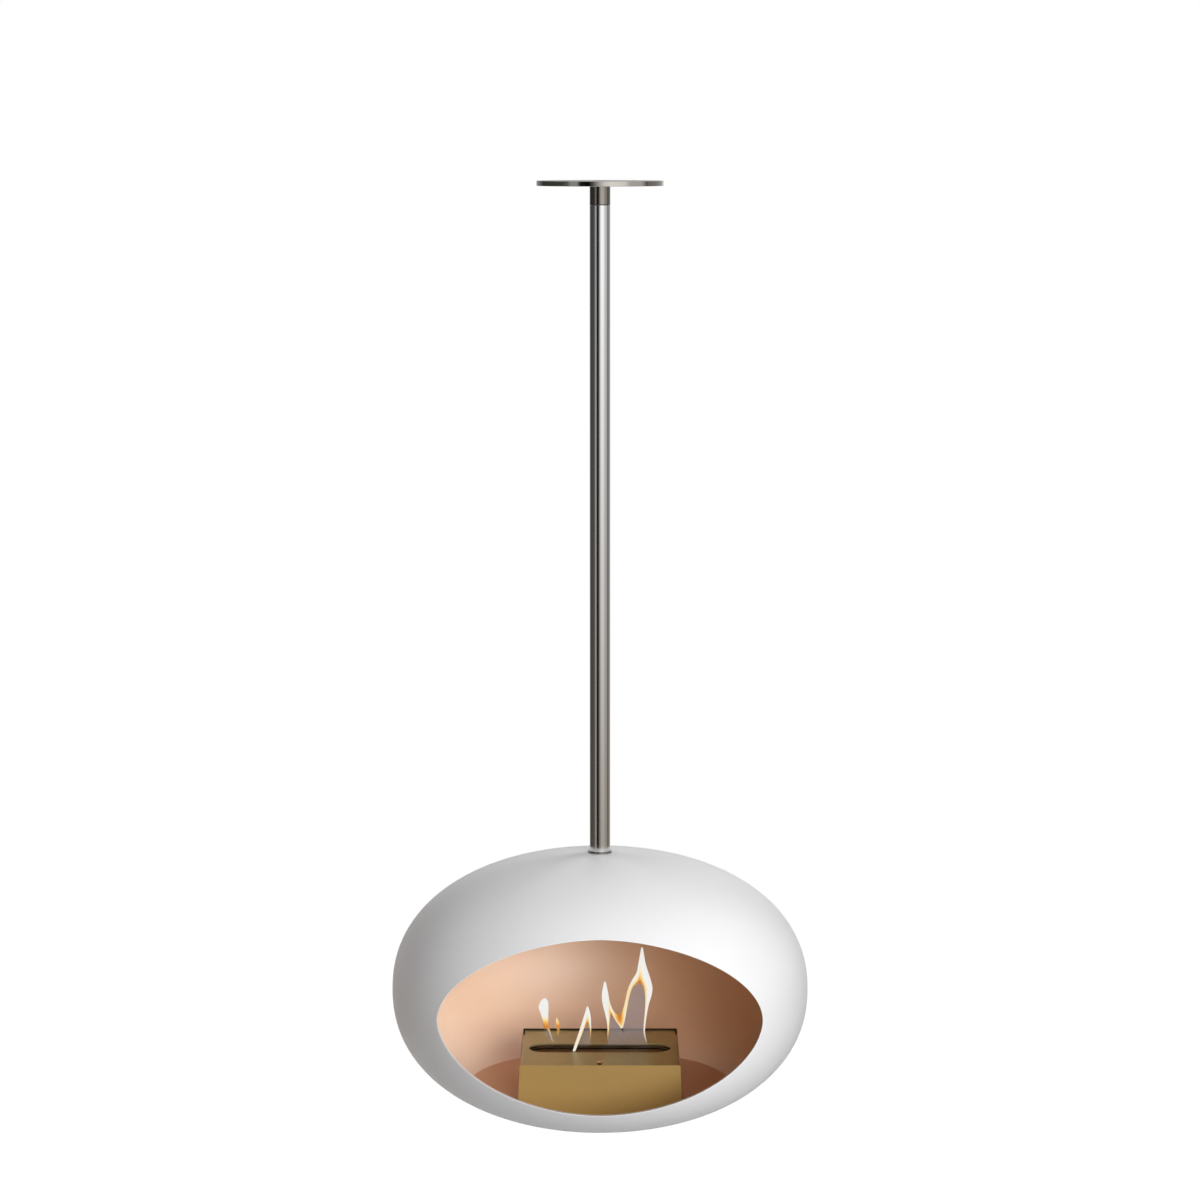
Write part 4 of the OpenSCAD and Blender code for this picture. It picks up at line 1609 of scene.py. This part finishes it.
    def _loft(self, tongue: Tongue, finish: Finish, thickest: float) -> None:
        """Lofts flat ovals along the stations of a flame or veil.

        Args:
            tongue: The flame or veil.
            finish: Its finish.
            thickest: Most half-thickness, front to back.
        """
        rows = np.array(tongue.stations, float)
        heights = rows[:, [1, 3]]
        low, high = heights.min(), heights.max()
        rows = self._smooth(rows)
        points, heat, clear = [], [], []
        for x0, z0, x1, z1, hot, cold, solid in rows:
            wide = math.hypot(x1 - x0, z1 - z0) * MM
            thick = min(wide * self.fullness, thickest)
            for k in range(self.sides):
                turn = 2 * math.pi * k / self.sides
                across = (1 - math.cos(turn)) / 2
                x, z = x0 + (x1 - x0) * across, z0 + (z1 - z0) * across
                rise = (z - low) / (high - low)
                y = tongue.foot_y + (tongue.tip_y - tongue.foot_y) * rise + thick * math.sin(turn)
                points.append((x * MM, y, z * MM))
                heat.append(hot + (cold - hot) * across ** tongue.sharpness)
                clear.append(solid)
        count, rings = self.sides, len(rows)
        faces = [(r * count + k, r * count + (k + 1) % count,
                  (r + 1) * count + (k + 1) % count, (r + 1) * count + k)
                 for r in range(rings - 1) for k in range(count)]
        faces.append(tuple(range(count))[::-1])
        faces.append(tuple((rings - 1) * count + k for k in range(count)))
        mesh = mesh_of(tongue.name, points, faces)
        for label, values in ((FLAME.heat_name, heat), (FLAME.clear_name, clear)):
            layer = mesh.attributes.new(label, "FLOAT", "POINT")
            layer.data.foreach_set("value", np.clip(values, 0, 1).astype(np.float32))
        smooth_outside(mesh, self.crease_deg)
        piece = dress(new_object(tongue.name, mesh), finish, Body.INSERT)
        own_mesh(piece)

    def _smooth(self, rows: np.ndarray) -> np.ndarray:
        """Catmull-Rom points through the stations.

        Args:
            rows: One row for each station.

        Returns:
            More rows, on smooth curves through them.
        """
        ends = np.vstack([2 * rows[0] - rows[1], rows, 2 * rows[-1] - rows[-2]])
        made = []
        for i in range(1, len(ends) - 2):
            a, b, c, d = ends[i - 1:i + 3]
            for k in range(self.steps):
                t = k / self.steps
                made.append(0.5 * (2 * b + (c - a) * t + (2 * a - 5 * b + 4 * c - d) * t ** 2
                                   + (3 * b - a - 3 * c + d) * t ** 3))
        made.append(rows[-1])
        return np.array(made)


# ---- Studio ----


@dataclass(frozen=True)
class Lamp:
    """A soft square lamp that points at the fireplace.

    Azimuth 0 is in front and 90 to the right. Reflections don't show the lamp.
    """

    name: str
    azimuth: float
    elevation: float
    watts: float
    side: float = 1.7
    distance: float = 3.2
    colour: Colour = WHITE

    def build(self, target: Vector) -> bpy.types.Object:
        """Adds the lamp.

        Args:
            target: The point that it faces.

        Returns:
            The lamp's object.
        """
        round_, up = math.radians(self.azimuth), math.radians(self.elevation)
        away = Vector((math.sin(round_) * math.cos(up), -math.cos(round_) * math.cos(up),
                       math.sin(up)))
        light = bpy.data.lights.new(self.name, "AREA")
        light.shape = "SQUARE"
        light.size = self.side
        light.energy = self.watts
        light.color = self.colour
        made = bpy.data.objects.new(self.name, light)
        made.location = target + away * self.distance
        made.rotation_euler = (-away).to_track_quat("-Z", "Y").to_euler()
        made.visible_glossy = False
        bpy.context.scene.collection.objects.link(made)
        return made


@dataclass
class Surround:
    """Cards and flags round the object, which only its reflections see.

    Each stop is an azimuth in degrees, 0 in front and 90 to the right, then how bright the
    cards are there at the height of the ceiling plate and below the shell.
    """

    radius: float = 3.0
    low: float = -2.29
    high: float = 2.6
    dim_below: float = -1.6
    full_above: float = -0.15
    columns: int = 96
    lid_level: float = 0.45
    gain: float = 2.0
    high_tone: Colour = WHITE
    low_tone: Colour = (1.0, 0.86, 0.72)
    stops: tuple[Triple, ...] = (
        (-180.0, 0.50, 0.50), (-150.0, 0.30, 0.30), (-125.0, 0.05, 0.06), (-100.0, 0.06, 0.08),
        (-72.0, 0.07, 0.09), (-60.0, 0.15, 0.12), (-54.0, 0.38, 0.30), (-42.0, 0.38, 0.32),
        (-36.0, 0.02, 0.02), (-20.0, 0.0, 0.0), (-13.0, 0.10, 0.08), (-3.0, 0.50, 0.16),
        (8.0, 0.95, 0.25), (20.0, 1.15, 0.33), (45.0, 1.0, 0.36), (55.0, 0.62, 0.30),
        (78.0, 0.58, 0.30), (86.0, 0.40, 0.20), (92.0, 0.12, 0.10), (98.0, 0.22, 0.17),
        (115.0, 0.26, 0.20), (140.0, 0.40, 0.30), (165.0, 0.80, 0.70), (180.0, 0.50, 0.50))

    def build(self) -> None:
        """Makes the wall and its lid, and hides them from all but glossy rays."""
        wall = self._part("studio_surround", self._wall(), self._glow)
        lid = self._part("studio_lid", self._lid(), self._even)
        for part in (wall, lid):
            part.visible_camera = False
            part.visible_diffuse = False
            part.visible_shadow = False
            part.visible_transmission = False

    @staticmethod
    def _part(name: str, mesh: bpy.types.Mesh,
              glow_of: Callable[[Graph], dict[str, Value]]) -> bpy.types.Object:
        """Makes a piece of the surround.

        Args:
            name: The piece's name.
            mesh: Its mesh.
            glow_of: What writes its colour and strength.

        Returns:
            The piece.
        """
        part = new_object(name, mesh)
        material = bpy.data.materials.new(name)
        graph = Graph.emptied(material)
        glow = graph.node("ShaderNodeEmission", None, glow_of(graph))
        graph.node("ShaderNodeOutputMaterial", None, {"Surface": glow.outputs[0]})
        part.data.materials.append(material)
        return part

    def _ring(self, height: float) -> list[Triple]:
        """Places points round the wall.

        Args:
            height: Their height.

        Returns:
            The points.
        """
        step = 2 * math.pi / self.columns
        return [(self.radius * math.sin(k * step), -self.radius * math.cos(k * step), height)
                for k in range(self.columns)]

    def _wall(self) -> bpy.types.Mesh:
        """Makes the round wall, whose faces look inwards.

        Returns:
            Its mesh.
        """
        count = self.columns
        faces = [(k, k + count, (k + 1) % count + count, (k + 1) % count) for k in range(count)]
        return mesh_of("studio_surround", self._ring(self.low) + self._ring(self.high), faces)

    def _lid(self) -> bpy.types.Mesh:
        """The flat lid over the wall."""
        return mesh_of("studio_lid", self._ring(self.high), [tuple(range(self.columns))[::-1]])

    def _glow(self, graph: Graph) -> dict[str, Value]:
        """Writes the wall's brightness by azimuth and height.

        Args:
            graph: The graph of the wall's material.

        Returns:
            Its colour and strength.
        """
        x, y, z = graph.parts(graph.here())
        turn = graph.math("ARCTAN2", x, -y) / (2 * math.pi) + 0.5
        ramps = [graph.ramp(turn, [(stop[0] / 360 + 0.5, tinted(tone, stop[1 + i] / self.gain))
                                   for stop in self.stops])
                 for i, tone in enumerate((self.high_tone, self.low_tone))]
        rise = ((z - self.dim_below) / (self.full_above - self.dim_below)).clamped()
        return {"Color": graph.mix(rise, ramps[1], ramps[0]), "Strength": self.gain}

    def _even(self, _graph: Graph) -> dict[str, Value]:
        """The lid's colour and strength, the same all over."""
        return {"Color": WHITE, "Strength": self.lid_level}


@dataclass
class Studio:
    """Camera, floor, lamps and background."""

    camera_place: Triple = (0.0, -5.267, 0.0596)
    camera_pitch: float = 6.83
    lens: float = 116.16
    sensor: float = 36.0
    floor_z: float = -2.3
    floor_rings: tuple[float, ...] = (2.0, 6.0, 40.0)
    floor_sides: int = 64
    floor_paint: Colour = (0.4, 0.4, 0.4)
    floor_near: float = 0.7
    floor_mirrored: float = 0.3
    whiter_from: float = 1.6
    whiter_over: float = 1.2
    target: Triple = (0.0, 0.0, -1.1)
    shine: Lamp = Lamp("lining_shine", 27.0, 12.0, 1900.0)
    lamps: tuple[Lamp, ...] = (
        Lamp("key", 20.0, 12.0, 112.0),
        Lamp("low_left", -140.0, -10.0, 16.0, 1.2, colour=(1.0, 0.90, 0.82)),
        Lamp("low_side", -104.0, -10.0, 13.0, 1.2, colour=(1.0, 0.90, 0.82)),
        Lamp("high_left", -120.0, 45.0, 24.0),
        Lamp("high_right", 120.0, 45.0, 39.0),
        Lamp("behind", 180.0, 20.0, 30.0),
        Lamp("above", 0.0, 89.0, 9.0),
    )

    def build(self) -> None:
        """Builds the whole studio."""
        self._camera()
        self._world()
        self._floor()
        for lamp in self.lamps:
            lamp.build(Vector(self.target))
        self._lining_shine()
        Surround().build()
        bpy.context.scene.view_settings.view_transform = "Standard"

    def _lining_shine(self) -> None:
        """Adds a soft white shine on the lining alone, in the shade of the shell alone."""
        shine = self.shine.build(Vector(self.target))
        shine.visible_glossy = True
        shine.visible_diffuse = False
        lit = bpy.data.collections.new("shone_lining")
        lit.objects.link(bpy.data.objects["shell_lining"])
        shine.light_linking.receiver_collection = lit
        shade = bpy.data.collections.new("shell_shade")
        for name in ("shell_skin", "shell_lining"):
            shade.objects.link(bpy.data.objects[name])
        shine.light_linking.blocker_collection = shade

    def _camera(self) -> None:
        """Places the camera at the photograph's angle."""
        camera = bpy.data.cameras.new("photo_camera")
        camera.lens = self.lens
        camera.sensor_width = self.sensor
        made = bpy.data.objects.new("photo_camera", camera)
        made.location = self.camera_place
        made.rotation_euler = (math.radians(90 - self.camera_pitch), 0.0, 0.0)
        bpy.context.scene.collection.objects.link(made)
        bpy.context.scene.camera = made

    @staticmethod
    def _seen(graph: Graph) -> Wire:
        """Picks the rays that see the background: camera, glossy and transmission rays.

        Args:
            graph: The graph of the background's tree.

        Returns:
            1 for those rays and 0 for the others.
        """
        path = graph.node("ShaderNodeLightPath")
        kinds = ("Is Camera Ray", "Is Glossy Ray", "Is Transmission Ray")
        rays = [Wire(graph, path.outputs[kind]) for kind in kinds]
        return (rays[0] + rays[1] + rays[2]).clamped()

    def _world(self) -> None:
        """A white background that is seen and mirrored, and gives no light of its own."""
        world = bpy.data.worlds.new("studio")
        bpy.context.scene.world = world
        graph = Graph.emptied(world)
        sky = graph.node("ShaderNodeBackground", None,
                         {"Color": WHITE, "Strength": self._seen(graph)})
        graph.node("ShaderNodeOutputWorld", None, {"Surface": sky.outputs[0]})

    def _floor(self) -> None:
        """A plain pale floor that keeps the object's shadow."""
        sides, step = self.floor_sides, 2 * math.pi / self.floor_sides
        points = [(0.0, 0.0, self.floor_z)]
        for radius in self.floor_rings:
            points += [(radius * math.cos(k * step), radius * math.sin(k * step), self.floor_z)
                       for k in range(sides)]
        faces = [(0, 1 + k, 1 + (k + 1) % sides) for k in range(sides)]
        for start in range(1, 1 + sides * (len(self.floor_rings) - 1), sides):
            faces += [(start + k, start + sides + k, start + sides + (k + 1) % sides,
                       start + (k + 1) % sides) for k in range(sides)]
        floor = new_object("studio_floor", mesh_of("studio_floor", points, faces))
        material = bpy.data.materials.new("pale_floor")
        graph = Graph.emptied(material)
        x, y, _ = graph.parts(graph.here())
        far = (((x * x + y * y) ** 0.5 - self.whiter_from) / self.whiter_over).clamped()
        mirrored = graph.wire("ShaderNodeLightPath", None, None, "Is Glossy Ray")
        plain = graph.level(far, self.floor_near, 1.0)
        glow = graph.node("ShaderNodeEmission", None, {
            "Color": WHITE,
            "Strength": self._seen(graph) * graph.level(mirrored, plain, self.floor_mirrored)})
        paint = graph.node("ShaderNodeBsdfDiffuse", None, {"Color": self.floor_paint})
        both = graph.node("ShaderNodeAddShader", None, {0: glow.outputs[0], 1: paint.outputs[0]})
        graph.node("ShaderNodeOutputMaterial", None, {"Surface": both.outputs[0]})
        floor.data.materials.append(material)


# ---- The whole ----


def dress_nodes() -> None:
    """Gives every CAD node that still shows its finish."""
    for finish, names in FINISHED_NODES.items():
        for name in names:
            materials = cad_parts[name].data.materials
            materials.clear()
            materials.append(finish.material())


def main() -> None:
    """Builds every sub-assembly in order, then the studio."""
    logging.basicConfig(level=logging.INFO, format="%(name)s: %(message)s")
    dress_nodes()
    lathe, cutters, weave = Lathe(), Cutters(), Weave()
    CeilingMount().build(lathe, cutters)
    Pole().build(lathe, cutters)
    Shell().build(OvalShell(ShellSizes()))
    Hearth().build(lathe)
    Burner().build(lathe, weave)
    Flames().build()
    Studio().build()


if __name__ == "__main__":
    main()
